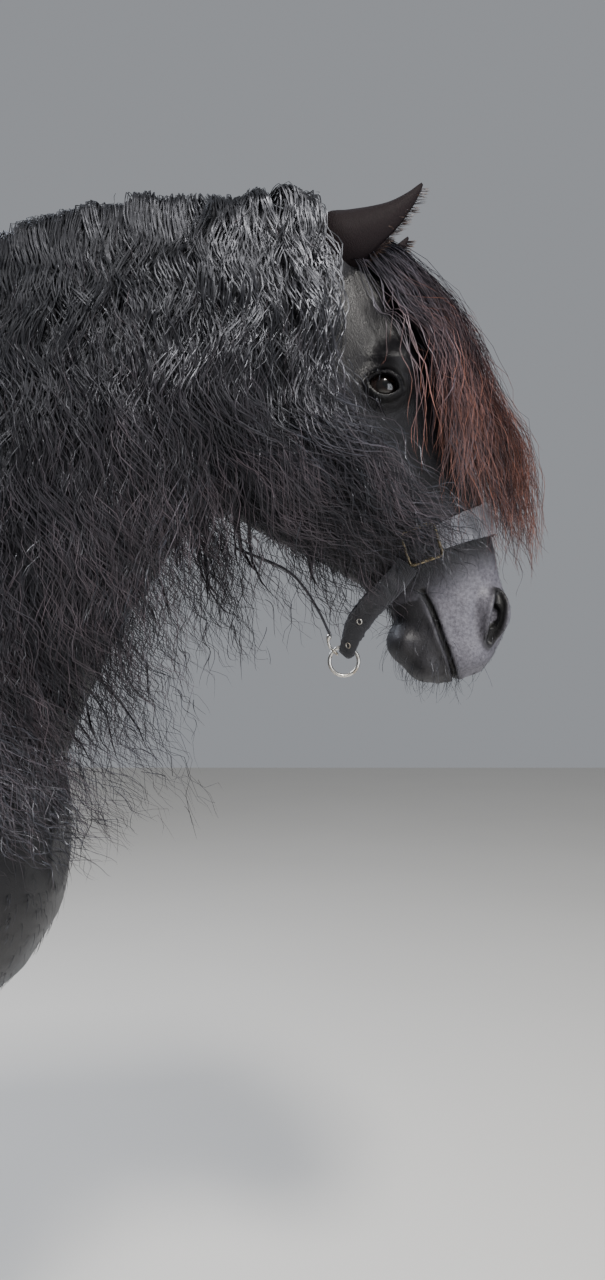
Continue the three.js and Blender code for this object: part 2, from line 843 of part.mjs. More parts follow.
// Hooves: [z, front, back, half width] from the coronet to the ground, before the leg's own place
const HOOF = {
  fore: [
    [HOOF_HEIGHT, 634, 528, 57],
    [60, 648, 524, 62],
    [0, 682, 518, 73],
  ],
  hind: [
    [HOOF_HEIGHT, -730, -836, 55],
    [60, -717, -839, 60],
    [0, -684, -842, 69],
  ],
};
const hoofTable = (leg) => HOOF[leg.name.startsWith("fore") ? "fore" : "hind"];

function hoofRing(leg, [z, front, back, half], sides, grow = 0) {
  const shift = stride(leg.step, z);
  const y = leg.side * 147;
  const middle = (front + back) / 2 + shift;
  const deep = (front - back) / 2;
  return Array.from({ length: sides }, (_, k) => {
    const angle = (2 * Math.PI * k) / sides;
    const heel = Math.cos(angle) < 0 ? 0.86 : 1;
    return vec(
      middle + (deep + grow) * Math.cos(angle),
      y + (half + grow) * heel * Math.sin(angle),
      z,
    );
  });
}

const hoofSolid = (leg) =>
  skinOver(
    hoofTable(leg)
      .map((row) => hoofRing(leg, row, 16))
      .reverse(),
  );

// The hooves as a field, so that the feather is held off them.
function hoofAndBody(x, y, z) {
  let f = bodyField(x, y, z);
  for (const leg of LEGS) {
    const rows = hoofTable(leg);
    const share = clamp(1 - z / HOOF_HEIGHT, 0, 1);
    const shift = stride(leg.step, z);
    const middle = (rows[0][1] + rows[0][2]) / 2 + shift + 16 * share;
    const deep = (rows[0][1] - rows[0][2]) / 2 + 30 * share;
    const half = rows[0][3] + 16 * share;
    const [dx, dy] = [x - middle, y - leg.side * 147];
    const r = Math.hypot(dx / deep, dy / half);
    const side = Math.hypot(dx, dy) * (1 - 1 / Math.max(r, 0.05));
    f = Math.min(f, Math.max(side, z - HOOF_HEIGHT));
  }
  return f;
}

// A block that fills everything behind a slanted plane: normal (nx, nz) and its offset.
const BLOCK = 4000;

function behind(nx, nz, offset) {
  const g = new THREE.BoxGeometry(BLOCK, BLOCK, BLOCK);
  g.translate(-BLOCK / 2, 0, 0);
  g.rotateY(-Math.atan2(nz, nx));
  g.translate(nx * offset, 0, nz * offset);
  return fromGeometry(g);
}

// Keeps what lies past a slice's plane, or before it where sign is -1, with a gap left at the plane.
function keepPast(made, plane, sign, gap = GAP / 2) {
  return made.subtract(
    behind(sign * plane.nx, sign * plane.nz, sign * plane.offset + gap),
  );
}

// Eyes, on the side of the head
const EYE = { u: 237, v: -77, y: 73 };
const eyeCentre = (side) => headPoint(EYE.u, EYE.v, side * EYE.y);

function ball(centre, radius, across = 14, up = 9) {
  const g = new THREE.SphereGeometry(radius, across, up);
  g.rotateX(Math.PI / 2);
  g.translate(centre.x, centre.y, centre.z);
  return fromGeometry(g);
}

// A round bar along points, with its radius at each share of the way.
function bar(points, radius, sides = 8, steps = 12) {
  const curve = new THREE.CatmullRomCurve3(points);
  let out = vec(0.02, 1, 0.03);
  const rings = range(0, 1, steps).map((s) => {
    const at = curve.getPoint(s);
    const along = curve.getTangent(s);
    out = out.addScaledVector(along, -out.dot(along)).normalize();
    const up = out.clone().cross(along).normalize();
    const r = radius(s);
    return Array.from({ length: sides }, (_, k) => {
      const angle = (2 * Math.PI * k) / sides;
      return at
        .clone()
        .addScaledVector(out, r * Math.cos(angle))
        .addScaledVector(up, r * Math.sin(angle));
    });
  });
  return skinOver(rings);
}

// The lids are a shell round the eyeball with an opening shaped like an almond, its front corner lower.
const LID = { wall: 6, half: 19, above: 13.5, below: 12, slope: 14 };

function lidOpening(side) {
  const centre = eyeCentre(side);
  const forward = vec(Math.cos(rad(LID.slope)), 0, -Math.sin(rad(LID.slope)));
  const upward = vec(-forward.z, 0, forward.x);
  const ring = (depth, grow) =>
    Array.from({ length: 14 }, (_, k) => {
      const angle = (2 * Math.PI * k) / 14;
      const [c, s] = [Math.cos(angle), Math.sin(angle)];
      const tall = (s > 0 ? LID.above : LID.below) * Math.sign(s) * Math.abs(s) ** 1.25;
      return centre
        .clone()
        .addScaledVector(forward, LID.half * c * grow)
        .addScaledVector(upward, tall * grow)
        .add(vec(0, side * depth, 0));
    });
  return skinOver([ring(6, 1), ring(60, 1.5)]);
}

// Nostril: a comma-shaped pit, and the mouth: a groove from corner to corner round the lips
function nostrilPit(side) {
  const points = [
    [506, -18, 40],
    [522, -14, 52],
    [544, -20, 56],
    [564, -40, 50],
  ].map(([u, v, y]) => headPoint(u, v, side * y));
  return bar(points, (s) => 3 + 9.5 * Math.sin(Math.PI * (0.15 + 0.7 * s)), 8, 8);
}

const MOUTH = [
  [484, -113, 62],
  [504, -109, 61],
  [526, -106, 57],
  [548, -104, 51],
  [572, -102, 43],
  [592, -101, 28],
  [601, -101, 0],
];

function mouthGroove() {
  const half = MOUTH.map(([u, v, y]) => onSurface(headPoint(u, v, y)));
  const other = half
    .slice(0, -1)
    .reverse()
    .map((p) => vec(p.x, -p.y, p.z));
  return bar([...half, ...other], () => 3.6, 5, 22);
}

// The ear: a pointed cup pricked forward, open to the front. Rows: share of the way to the tip, half height and drop.
const EAR_ROOT = [52, -83, 57];
const EAR_TIP = [21, 48, 79];
const EAR_ROWS = [
  [-0.22, 26, 3],
  [0, 35, 3],
  [0.17, 37, 2.5],
  [0.33, 29, 8.5],
  [0.5, 21, 12],
  [0.67, 14, 12.5],
  [0.85, 8.2, 8],
  [0.95, 4.2, 3],
  [1, 1.6, 0],
];
const EAR_CUP = { from: 0.12, wall: 6, lift: 13 };

function earRings(side, cup, grow = 0) {
  const [root, tip] = [EAR_ROOT, EAR_TIP].map(([u, v, y]) =>
    headPoint(u, v, side * y),
  );
  const along = tip.clone().sub(root).normalize();
  const across = vec(0, side, 0).addScaledVector(along, -side * along.y);
  across.normalize();
  const tall = across.clone().cross(along).multiplyScalar(side).normalize();
  if (tall.z > 0) tall.negate();
  return EAR_ROWS.filter(([s]) => !cup || s > EAR_CUP.from).map(
    ([s, half, drop]) => {
      const thin = cup ? EAR_CUP.wall * (1 - 0.6 * s) : 0;
      const lift = cup ? EAR_CUP.lift * (1 - 0.45 * s) : 0;
      const [high, wide] = [Math.max(half + grow - thin, 1), half * 0.62 + grow];
      const centre = root
        .clone()
        .lerp(tip, cup ? 0.06 + 0.92 * s : s)
        .addScaledVector(tall, drop + lift)
        .addScaledVector(across, 9 * Math.sin(Math.PI * clamp(s, 0, 1)) + 0.35 * lift);
      const flat = Math.max(wide - thin, 0.8);
      return Array.from({ length: 10 }, (_, k) => {
        const angle = (2 * Math.PI * k) / 10;
        return centre
          .clone()
          .addScaledVector(tall, high * Math.cos(angle))
          .addScaledVector(across, flat * Math.sin(angle));
      });
    },
  );
}

const earSolid = (side) =>
  skinOver(earRings(side, false)).subtract(skinOver(earRings(side, true)));

// Halter straps lie on the skin. A strip follows stations, each with the point, the way out and the way across.
const WEB = 3.2; // thickness of the webbing
const LIFT = 3.2; // between the skin and the webbing

function strip(stations, width, lift = LIFT, grow = 0) {
  const last = stations.length - 1;
  const rings = stations.map(({ at, out, across }, i) =>
    [
      [-0.5, 0],
      [0.5, 0],
      [0.5, 1],
      [-0.5, 1],
    ].map(([a, b]) =>
      at
        .clone()
        .addScaledVector(across, a * (width(i / last) + 2 * grow))
        .addScaledVector(out, lift - grow + b * (WEB + 2 * grow)),
    ),
  );
  return skinOver(rings);
}

// Stations on the skin of the head under points given as [u, v, y]. The strip's width lies along `lie` where it is given.
function onSkin(points, steps, lie = null) {
  const curve = new THREE.CatmullRomCurve3(
    points.map(([u, v, y]) => headPoint(u, v, y)),
  );
  const found = range(0, 1, steps).map((s) => onSurface(curve.getPoint(s)));
  return found.map((at, i) => {
    const ahead = found[Math.min(i + 1, steps - 1)];
    const behind = found[Math.max(i - 1, 0)];
    const along = ahead.clone().sub(behind).normalize();
    const out = gradient(bodyField, at);
    const across = lie
      ? lie.clone().addScaledVector(out, -lie.dot(out)).normalize()
      : along.clone().cross(out).normalize();
    return { at, out: lie ? out : across.clone().cross(along).normalize(), across };
  });
}

// Stations along a strap that hangs free, with the way out pointing away from a centre.
function hanging(points, centre, steps) {
  const curve = new THREE.CatmullRomCurve3(points);
  return range(0, 1, steps).map((s) => {
    const at = curve.getPoint(s);
    const along = curve.getTangent(s);
    const rough = at.clone().sub(centre).normalize();
    const across = along.clone().cross(rough).normalize();
    return { at, out: across.clone().cross(along).normalize(), across };
  });
}

// A half of a strap's points, given on the left side, and the same on the right side before it.
const bothSides = (half) => [
  ...half
    .slice(1)
    .reverse()
    .map(([u, v, y]) => [u, v, -y]),
  ...half,
];

const NOSE_U = 425; // where the noseband lies on the face
const RING_V = -92; // how far back the square rings sit
const SQUARE = { half: 23, wire: 2.6 };

const nosebandStations = onSkin(
  bothSides([
    [NOSE_U, -4, 0],
    [NOSE_U, -8, 28],
    [NOSE_U + 1, -30, 55],
    [NOSE_U + 3, RING_V + 14, 62],
  ]),
  21,
  vec(U[0], 0, U[1]),
);
const noseband = (grow) =>
  strip(nosebandStations, (s) => 30 + 12 * Math.sin(Math.PI * s), LIFT, grow);

// The headpiece runs from one square ring up the cheek, behind the ears and down to the other.
const headpieceStations = onSkin(
  bothSides([
    [-12, -84, 0],
    [-10, -90, 34],
    [4, -118, 66],
    [44, -152, 78],
    [110, -164, 84],
    [190, -166, 92],
    [280, -150, 92],
    [360, -118, 76],
    [NOSE_U - 20, RING_V - 9, 64],
  ]),
  35,
);
const headpiece = (grow) => strip(headpieceStations, () => 25, LIFT, grow);

// The throat strap goes from one cheek round behind the jaw to the other.
const throatStations = onSkin(
  [
    [88, -186, 84],
    [160, -232, 84],
    [236, -286, 62],
    [300, -316, 30],
    [312, -322, 0],
    [300, -316, -30],
    [236, -286, -62],
    [160, -232, -84],
    [88, -186, -84],
  ],
  21,
);
const throatStrap = (grow) => strip(throatStations, () => 22, LIFT, grow);

// The chin strap hangs in a loop under the jaw from the square rings, through the round ring.
const RING_CENTRE = vec(1133, 0, 1303);
const RING_RADIUS = 21;
const RING_WIRE = 2.4;

const chinHalf = [
  headPoint(NOSE_U + 22, RING_V - 24, 68),
  headPoint(NOSE_U + 34, -132, 62),
  headPoint(478, -168, 48),
  vec(1148, 28, 1346),
  vec(1137, 8, 1316),
];
const chinStations = hanging(
  [
    ...chinHalf,
    vec(1134, 0, 1312.6),
    ...chinHalf
      .slice()
      .reverse()
      .map((p) => vec(p.x, -p.y, p.z)),
  ],
  headPoint(440, -70, 0),
  23,
);
const chinStrap = (grow) =>
  strip(
    chinStations,
    (s) => lerp(14, 30, clamp((Math.abs(2 * s - 1) - 0.06) / 0.3, 0, 1)),
    0,
    grow,
  );

const jawStations = hanging(
  [
    vec(1116, 0, 1338),
    vec(1104, 0, 1364),
    vec(1086, 0, 1394),
    vec(1064, 0, 1418),
    headPoint(352, -308, 0),
  ],
  vec(1180, 0, 1440),
  12,
);
const jawStrap = (grow) => strip(jawStations, () => 16, 0, grow);

// The snap hangs from the jaw strap and hooks round the wire of the round ring, behind its top.
const SNAP = { wire: 1.9, hook: 6.4, from: 15, to: 315 };

function snap() {
  const share = (RING_RADIUS - RING_WIRE) * Math.SQRT1_2;
  const centre = RING_CENTRE.clone().add(vec(-share, 0, share));
  const outward = vec(-Math.SQRT1_2, 0, Math.SQRT1_2);
  const hook = range(SNAP.from, SNAP.to, 8).map((degrees) =>
    centre
      .clone()
      .addScaledVector(outward, SNAP.hook * Math.cos(rad(degrees)))
      .addScaledVector(vec(0, 1, 0), SNAP.hook * Math.sin(rad(degrees))),
  );
  const points = [vec(1115, 0, 1337.4), vec(1113, 0, 1329), ...hook];
  return bar(points, () => SNAP.wire, 5, 18);
}

function roundRing() {
  const g = new THREE.TorusGeometry(RING_RADIUS - RING_WIRE, RING_WIRE, 6, 20);
  g.rotateX(Math.PI / 2);
  g.translate(RING_CENTRE.x, RING_CENTRE.y, RING_CENTRE.z);
  return fromGeometry(g);
}

// A square wire loop standing on the cheek
function squareRing(side) {
  const [middle] = onSkin(
    [
      [NOSE_U + 4, RING_V, side * 62],
      [NOSE_U + 6, RING_V - 1, side * 62],
    ],
    2,
  );
  const down = vec(U[0], 0, U[1]);
  const alongU = down
    .addScaledVector(middle.out, -down.dot(middle.out))
    .normalize();
  const alongV = middle.out.clone().cross(alongU).normalize();
  const h = SQUARE.half;
  const square = (r) => [
    new THREE.Vector2(-r, -r),
    new THREE.Vector2(r, -r),
    new THREE.Vector2(r, r),
    new THREE.Vector2(-r, r),
  ];
  const shape = new THREE.Shape(square(h));
  shape.holes.push(new THREE.Path(square(h - 2 * SQUARE.wire)));
  const g = new THREE.ExtrudeGeometry(shape, {
    depth: 2 * SQUARE.wire,
    bevelEnabled: false,
  });
  const turn = new THREE.Matrix4().makeBasis(alongU, alongV, middle.out);
  turn.setPosition(
    middle.at.clone().addScaledVector(middle.out, LIFT + WEB + 1.2),
  );
  g.applyMatrix4(turn);
  return fromGeometry(g);
}

// Materials
const finish = (color, roughness, metalness = 0) =>
  new THREE.MeshStandardMaterial({ color, roughness, metalness });
const coat = finish(0x17151a, 0.55);
const hair = finish(0x1b1a20, 0.5);
const eyeFinish = finish(0x0b0808, 0.05);
const hoofHorn = finish(0x1c1a19, 0.45);
const webbing = finish(0x23242b, 0.8);
const steel = finish(0xa9a39a, 0.3, 1);

const horse = new THREE.Group();
horse.position.set(-CENTRE_X * SIZE, 0, 0);
horse.scale.setScalar(SIZE);
function place(name, made, material) {
  const settled = largest(fromGeometry(toGeometry(largest(made))));
  const mesh = new THREE.Mesh(toGeometry(settled), material);
  mesh.name = name;
  horse.add(mesh);
}

// Torso, cut where the neck leaves it
const trunkTs = [
  0.05, 0.6, 1.1, 1.6, 2.2, 2.8, 3.4, 4, 4.5, 5, 5.6, 6.3, 7, 8, 9, 10, 11, 11.8,
  12.6, 13.3, 14, 14.6, 15.2, 15.95,
];
const trunk = (outset) =>
  skinOver(ringsOf(torso, trunkTs, 22, trunkField, outset));
const basePlane = neck.planes[NECK_BASE];
const torsoSolid = keepPast(trunk(0), basePlane, -1);
const torsoClear = keepPast(trunk(GAP + 0.1), basePlane, -1, 0);
place("torso", torsoSolid, coat);

// Head
const headTs = [...range(HEAD_START, 12, 17), 12.5, 13, 13.5, 14, 14.5, 15, 15.5, 15.92];
const skull = (outset) =>
  skinOver(ringsOf(head, headTs, 22, upperField, outset));
const headPlane = neck.planes[NECK_END];
let headSolid = keepPast(skull(0), head.planes[HEAD_START], 1);
const headClear = keepPast(skull(GAP + 0.1), head.planes[HEAD_START], 1, 0);
for (const [, side] of SIDES) {
  headSolid = headSolid
    .add(ball(eyeCentre(side), EYE_RADIUS + LID.wall))
    .subtract(ball(eyeCentre(side), EYE_RADIUS + GAP))
    .subtract(lidOpening(side))
    .subtract(nostrilPit(side));
}
headSolid = headSolid.subtract(mouthGroove());

// Takes away from a piece the others that reach into it.
function clearOf(made, others) {
  return others.reduce(
    (left, other) =>
      left.intersect(other).volume() > 1e-4 ? left.subtract(other) : left,
    made,
  );
}

// Halter, ears and eyes
const straps = {
  halter_noseband: noseband,
  halter_headpiece: headpiece,
  halter_throat_strap: throatStrap,
  halter_chin_strap: chinStrap,
  halter_jaw_strap: jawStrap,
};
const halterClear = Object.values(straps).map((make) => make(GAP + 0.1));
const metal = [
  ["halter_ring", roundRing()],
  ["halter_snap", snap()],
  ...SIDES.map(([name, side]) => [`halter_square_${name}`, squareRing(side)]),
];
const metalSolids = metal.map(([, made]) => made);
const earsClear = SIDES.map(([, side]) => skinOver(earRings(side, false, 0.5)));
for (const [name, side] of SIDES) {
  place(`ear_${name}`, clearOf(earSolid(side).subtract(headClear), halterClear), coat);
  place(`eye_${name}`, ball(eyeCentre(side), EYE_RADIUS), eyeFinish);
}
for (const [name, make] of Object.entries(straps))
  place(name, clearOf(make(0), metalSolids), webbing);
for (const [name, made] of metal) place(name, made, steel);
const headWhole = clearOf(union([headSolid, ...forelockLocks()]), [
  ...halterClear,
  ...earsClear,
  ...metalSolids,
]);
place("head", headWhole, coat);

// Neck and mane
const neckTs = [NECK_BASE - 0.03, ...range(NECK_BASE + 0.1, NECK_END, 12)];
const collar = (outset, gap) =>
  keepPast(
    keepPast(
      skinOver(ringsOf(neck, neckTs, 20, upperField, outset)),
      basePlane,
      1,
      gap,
    ),
    head.planes[HEAD_START],
    -1,
    gap,
  );
const neckSolid = collar(0, GAP / 2);
const neckClear = collar(GAP + 0.1, -GAP / 2);
place(
  "neck",
  clearOf(union([neckSolid, ...maneLocks()]), [
    headClear,
    torsoClear,
    ...halterClear,
    ...earsClear,
    ...metalSolids,
  ]),
  hair,
);

// Legs, parted above the knee and the hock, and hooves
const LEG_CUT = { fore: 612, hind: 694 };
const trunkClear = torsoClear.add(neckClear);

for (const leg of LEGS) {
  const count = leg.table.length - 1;
  const ts = range(0.02, count - 0.05, count);
  const made = skinOver(ringsOf(leg.slices, ts, 10, leg.slices.field.bind(leg.slices)));
  const clear = made.subtract(trunkClear).subtract(behind(0, 1, HOOF_HEIGHT + GAP));
  const end = leg.name.slice(0, 4);
  const cut = { nx: 0, nz: 1, offset: LEG_CUT[end] };
  place(`upper_${leg.name}`, keepPast(clear, cut, 1), coat);
  const lower = keepPast(clear, cut, -1);
  place(`lower_${leg.name}`, union([largest(lower), ...featherLocks(leg)]), coat);
  place(leg.name.replace("leg", "hoof"), hoofSolid(leg), hoofHorn);
}

// Tail
place("tail", union([dockSolid(), ...tailLocks()]).subtract(torsoClear), hair);

export default horse;
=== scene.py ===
"""A life-size standing friesian horse in a head halter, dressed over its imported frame.

The body is one signed-distance shape in millimetres, in the horse's own axes: +X the way it faces, +Y its
left side, +Z up, with the frame's middle at x = 155. The skin is drawn from it, and hair and straps lie on it.
"""

import logging
import math
from collections.abc import Callable, Sequence
from dataclasses import dataclass, field, fields
from enum import Enum

import bpy
import numpy as np
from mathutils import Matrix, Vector


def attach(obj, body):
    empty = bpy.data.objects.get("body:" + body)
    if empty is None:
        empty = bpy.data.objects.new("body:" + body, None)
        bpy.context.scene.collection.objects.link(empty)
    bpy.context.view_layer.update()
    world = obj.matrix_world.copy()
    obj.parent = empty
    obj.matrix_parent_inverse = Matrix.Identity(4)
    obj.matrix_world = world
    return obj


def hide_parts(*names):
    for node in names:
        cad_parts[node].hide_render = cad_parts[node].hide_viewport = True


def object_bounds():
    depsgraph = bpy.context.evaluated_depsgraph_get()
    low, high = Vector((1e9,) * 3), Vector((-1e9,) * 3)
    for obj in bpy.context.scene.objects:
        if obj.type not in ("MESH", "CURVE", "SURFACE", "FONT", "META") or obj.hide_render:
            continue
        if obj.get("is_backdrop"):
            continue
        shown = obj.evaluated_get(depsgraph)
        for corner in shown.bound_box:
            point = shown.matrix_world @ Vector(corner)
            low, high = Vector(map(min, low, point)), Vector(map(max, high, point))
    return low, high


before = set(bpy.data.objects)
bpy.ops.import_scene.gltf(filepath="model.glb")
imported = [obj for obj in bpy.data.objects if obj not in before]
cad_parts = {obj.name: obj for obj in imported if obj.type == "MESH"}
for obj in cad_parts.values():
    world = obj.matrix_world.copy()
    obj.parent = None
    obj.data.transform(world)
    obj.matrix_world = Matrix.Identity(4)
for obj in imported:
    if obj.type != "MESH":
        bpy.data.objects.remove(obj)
CAD_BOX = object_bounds()
LOG = logging.getLogger("horse")

Array = np.ndarray
Point = tuple[float, float, float]
Scalar = Callable[[Array], Array]
Draw = np.random.Generator
Object, Mesh, Material = bpy.types.Object, bpy.types.Mesh, bpy.types.Material
Tree, Node, Socket = bpy.types.NodeTree, bpy.types.Node, bpy.types.NodeSocket

CENTRE_X = 155.0
EYE_RADIUS = 23.0
HOOF_HEIGHT = 86.0
HOOF_OUT = 147.0
STEP = 32.0
GUIDE_STEPS = 56
PIECE_TRIANGLES = 190000
FACE_TILT = math.radians(19.0)
POLL = (1172.0, 1882.0)
DOWN_FACE = np.array([math.sin(FACE_TILT), 0.0, -math.cos(FACE_TILT)])
OUT_OF_FACE = np.array([math.cos(FACE_TILT), 0.0, math.sin(FACE_TILT)])


class Side(Enum):
    """The two sides of the horse, by the sign of y."""

    RIGHT = -1
    LEFT = 1

    @property
    def word(self) -> str:
        """The side's name in node names."""
        return self.name.lower()


class End(Enum):
    """The two ends that have legs."""

    FORE = "fore"
    HIND = "hind"


# Small maths


def metres(points: Array) -> Array:
    """Points of the horse's own axes, in millimetres, as points of the frame in metres."""
    return (points - np.array([CENTRE_X, 0.0, 0.0])) * 0.001


def unit(vectors: Array) -> Array:
    """Vectors of length one along the last axis."""
    return vectors / np.maximum(np.linalg.norm(vectors, axis=-1, keepdims=True), 1e-9)


def mix(a: Array | float, b: Array | float, share: Array | float) -> Array | float:
    """A value between a and b."""
    return a + (b - a) * share


def ramp(value: Array, low: float, high: float) -> Array:
    """A smooth step from 0 at low to 1 at high."""
    t = np.clip((value - low) / (high - low), 0.0, 1.0)
    return t * t * (3.0 - 2.0 * t)


def bell(value: Array, width: float) -> Array:
    """A bell of height 1 at 0, of a given width."""
    return np.exp(-((value / width) ** 2))


def columns(*values: Array | float) -> Array:
    """Rows made of columns, where a plain number is the same in every row."""
    return np.stack(np.broadcast_arrays(*values), axis=-1)


def to_left(p: Array) -> Array:
    """Points with y made positive, for what is alike on both sides."""
    return columns(p[:, 0], np.abs(p[:, 1]), p[:, 2])


def graph(points: Sequence[tuple[float, float]], x: Array) -> Array:
    """The value at x of a line through points, flat past its ends."""
    knots = np.array(points, float)
    return np.interp(x, knots[:, 0], knots[:, 1])


def join(a: Array, b: Array, k: float) -> Array:
    """Smooth joining of two signed distances over a fillet of about k."""
    h = np.maximum(k - np.abs(a - b), 0.0) / k
    return np.minimum(a, b) - h * h * k / 4.0


def carve(a: Array, b: Array, k: float) -> Array:
    """Takes the shape b out of the shape a, with a fillet."""
    return -join(-a, b, k)


def spline(table: Array, t: Array) -> Array:
    """Catmull-Rom through the rows of a table.

    Args:
        table: rows of values.
        t: places between rows.

    Returns:
        One row of values for each place.
    """
    last = len(table) - 1
    i = np.clip(np.floor(t).astype(int), 0, last - 1)
    f = np.clip(t - i, 0.0, 1.0)[:, None]
    p0, p1 = table[np.maximum(i - 1, 0)], table[i]
    p2, p3 = table[i + 1], table[np.minimum(i + 2, last)]
    m1, m2, d = (p2 - p0) / 2, (p3 - p1) / 2, p1 - p2
    return p1 + f * (m1 + f * (-3 * d - 2 * m1 - m2 + f * (2 * d + m1 + m2)))


def curve_through(points: Sequence[Sequence[float]], count: int) -> Array:
    """Points along a smooth curve through given points, on even shares of its spans.

    Args:
        points: the points that the curve passes.
        count: how many points are wanted.

    Returns:
        The points, as an array of count rows.
    """
    p = np.array(points, float)
    last = len(p) - 1
    padded = np.vstack([2 * p[0] - p[1], p, 2 * p[-1] - p[-2]])
    place = np.linspace(0.0, last, count)
    i = np.minimum(place.astype(int), last - 1)
    w = (place - i)[:, None]
    a, b, c, d = (padded[i + k] for k in range(4))
    t0, t1, t2 = (np.maximum(np.linalg.norm(q - r, axis=1), 1e-6) ** 0.5 for q, r in ((b, a), (c, b), (d, c)))
    t0, t1, t2 = t0[:, None], t1[:, None], t2[:, None]
    m1 = ((b - a) / t0 - (c - a) / (t0 + t1) + (c - b) / t1) * t1
    m2 = ((c - b) / t1 - (d - b) / (t1 + t2) + (d - c) / t2) * t1
    return b + w * (m1 + w * (3 * (c - b) - 2 * m1 - m2 + w * (2 * (b - c) + m1 + m2)))


def head_point(u: Array | float, v: Array | float, y: Array | float) -> Array:
    """A point given down the face (u), out of it (v) and across (y)."""
    u, v, y = np.broadcast_arrays(np.asarray(u, float), v, y)
    at = u[..., None] * DOWN_FACE + v[..., None] * OUT_OF_FACE
    return at + columns(POLL[0], y, POLL[1])


def on_side(point: Point, side: Side) -> Array:
    """A point of the head given on the left, put on one side."""
    return head_point(point[0], point[1], side.value * point[2])


def head_axes(p: Array) -> tuple[Array, Array]:
    """How far points lie down the face and out of it."""
    d = p - np.array([POLL[0], 0.0, POLL[1]])
    return d @ DOWN_FACE, d @ OUT_OF_FACE


# The shape of the body


class Slices:
    """A body built of slices, each from a point a of its top or front to a point b of its bottom or back."""

    def __init__(self, rows: Sequence[Sequence[float]]) -> None:
        """Keeps the slices and their planes.

        Args:
            rows: ax, az, bx, bz, y, half width, widest place from b to a, roundness at a and at b.
        """
        self.rows = np.array(rows, float)
        a, b = self.rows[:, 0:2], self.rows[:, 2:4]
        length = np.linalg.norm(a - b, axis=1)
        normal = columns((a - b)[:, 1], (b - a)[:, 0]) / length[:, None]
        middle = a + b
        ahead = np.vstack([middle[1:], middle[-1:]]) - np.vstack([middle[:1], middle[:-1]])
        normal[np.einsum("ij,ij->i", normal, ahead) < 0] *= -1
        self.normal, self.offset = normal, np.einsum("ij,ij->i", normal, a)
        y, w = self.rows[:, 4], self.rows[:, 5]
        both = np.vstack([a, b])
        self.low = np.array([both[:, 0].min(), (y - w).min(), both[:, 1].min()])
        self.high = np.array([both[:, 0].max(), (y + w).max(), both[:, 1].max()])

    def at(self, t: Array) -> tuple[Array, ...]:
        """The slices at places t.

        Args:
            t: places between slices.

        Returns:
            Direction from b to a, centre, y, half width, reach up and down, roundness at a and at b.
        """
        s = spline(self.rows, t)
        a, b = s[:, 0:2], s[:, 2:4]
        length = np.linalg.norm(a - b, axis=1)
        m = s[:, 6]
        centre = b + m[:, None] * (a - b)
        way = (a - b) / length[:, None]
        return way, centre, s[:, 4], s[:, 5], (1 - m) * length, m * length, s[:, 7], s[:, 8]

    def place(self, p: Array) -> tuple[Array, Array]:
        """The place between the slices of each point, and its distances from the first and last plane."""
        d = p[:, 0:1] * self.normal[:, 0] + p[:, 2:3] * self.normal[:, 1] - self.offset
        between = (d[:, :-1] >= 0) & (d[:, 1:] < 0)
        i = between.argmax(axis=1)
        row = np.arange(len(p))
        d0, d1 = d[row, i], d[row, i + 1]
        inside = i + d0 / np.where(d0 == d1, 1.0, d0 - d1)
        t = np.where(between.any(axis=1), inside, np.where(d[:, 0] < 0, 0.0, len(self.rows) - 1.0))
        return t, np.maximum(-d[:, 0], d[:, -1])

    def field(self, p: Array) -> Array:
        """Signed distance, roughly, of points."""
        t, past = self.place(p)
        e, centre, y, w, up, down, na, nb = self.at(t)
        v = (p[:, 0] - centre[:, 0]) * e[:, 0] + (p[:, 2] - centre[:, 1]) * e[:, 1]
        side = p[:, 1] - y
        high = v > 0
        n = np.where(high, na, nb)
        tall = np.where(high, up, down)
        r = ((np.abs(side) / w) ** n + (np.abs(v) / tall) ** n) ** (1 / n)
        out = np.hypot(side, v) * (1 - 1 / np.maximum(r, 0.05))
        return np.maximum(out, past)


class Mass:
    """A muscle or bone: an ellipsoid between two points, thick in the side view and across."""

    def __init__(self, start: Array, end: Array, thick: float, across: float, blend: float) -> None:
        """Keeps its centre, axes and blend into the body."""
        self.centre = (start + end) / 2
        along = (end - start) * np.array([1.0, 0.0, 1.0])
        self.axis = along / np.linalg.norm(along)
        self.half = np.linalg.norm(end - start) / 2 + 0.35 * thick
        self.thick, self.across, self.blend = thick, across, blend
        self.reach = max(self.half, thick, across) + blend

    def field(self, p: Array) -> Array:
        """Signed distance, roughly, of points."""
        d = p - self.centre
        along = d[:, 0] * self.axis[0] + d[:, 2] * self.axis[2]
        upright = d[:, 0] * self.axis[2] - d[:, 2] * self.axis[0]
        r = np.sqrt((along / self.half) ** 2 + (upright / self.thick) ** 2 + (d[:, 1] / self.across) ** 2)
        return np.linalg.norm(d, axis=1) * (1 - 1 / np.maximum(r, 0.05))

    def near(self, p: Array) -> Array:
        """Which points are close enough for it to matter."""
        return np.nonzero((np.abs(p - self.centre) < self.reach).all(axis=1))[0]


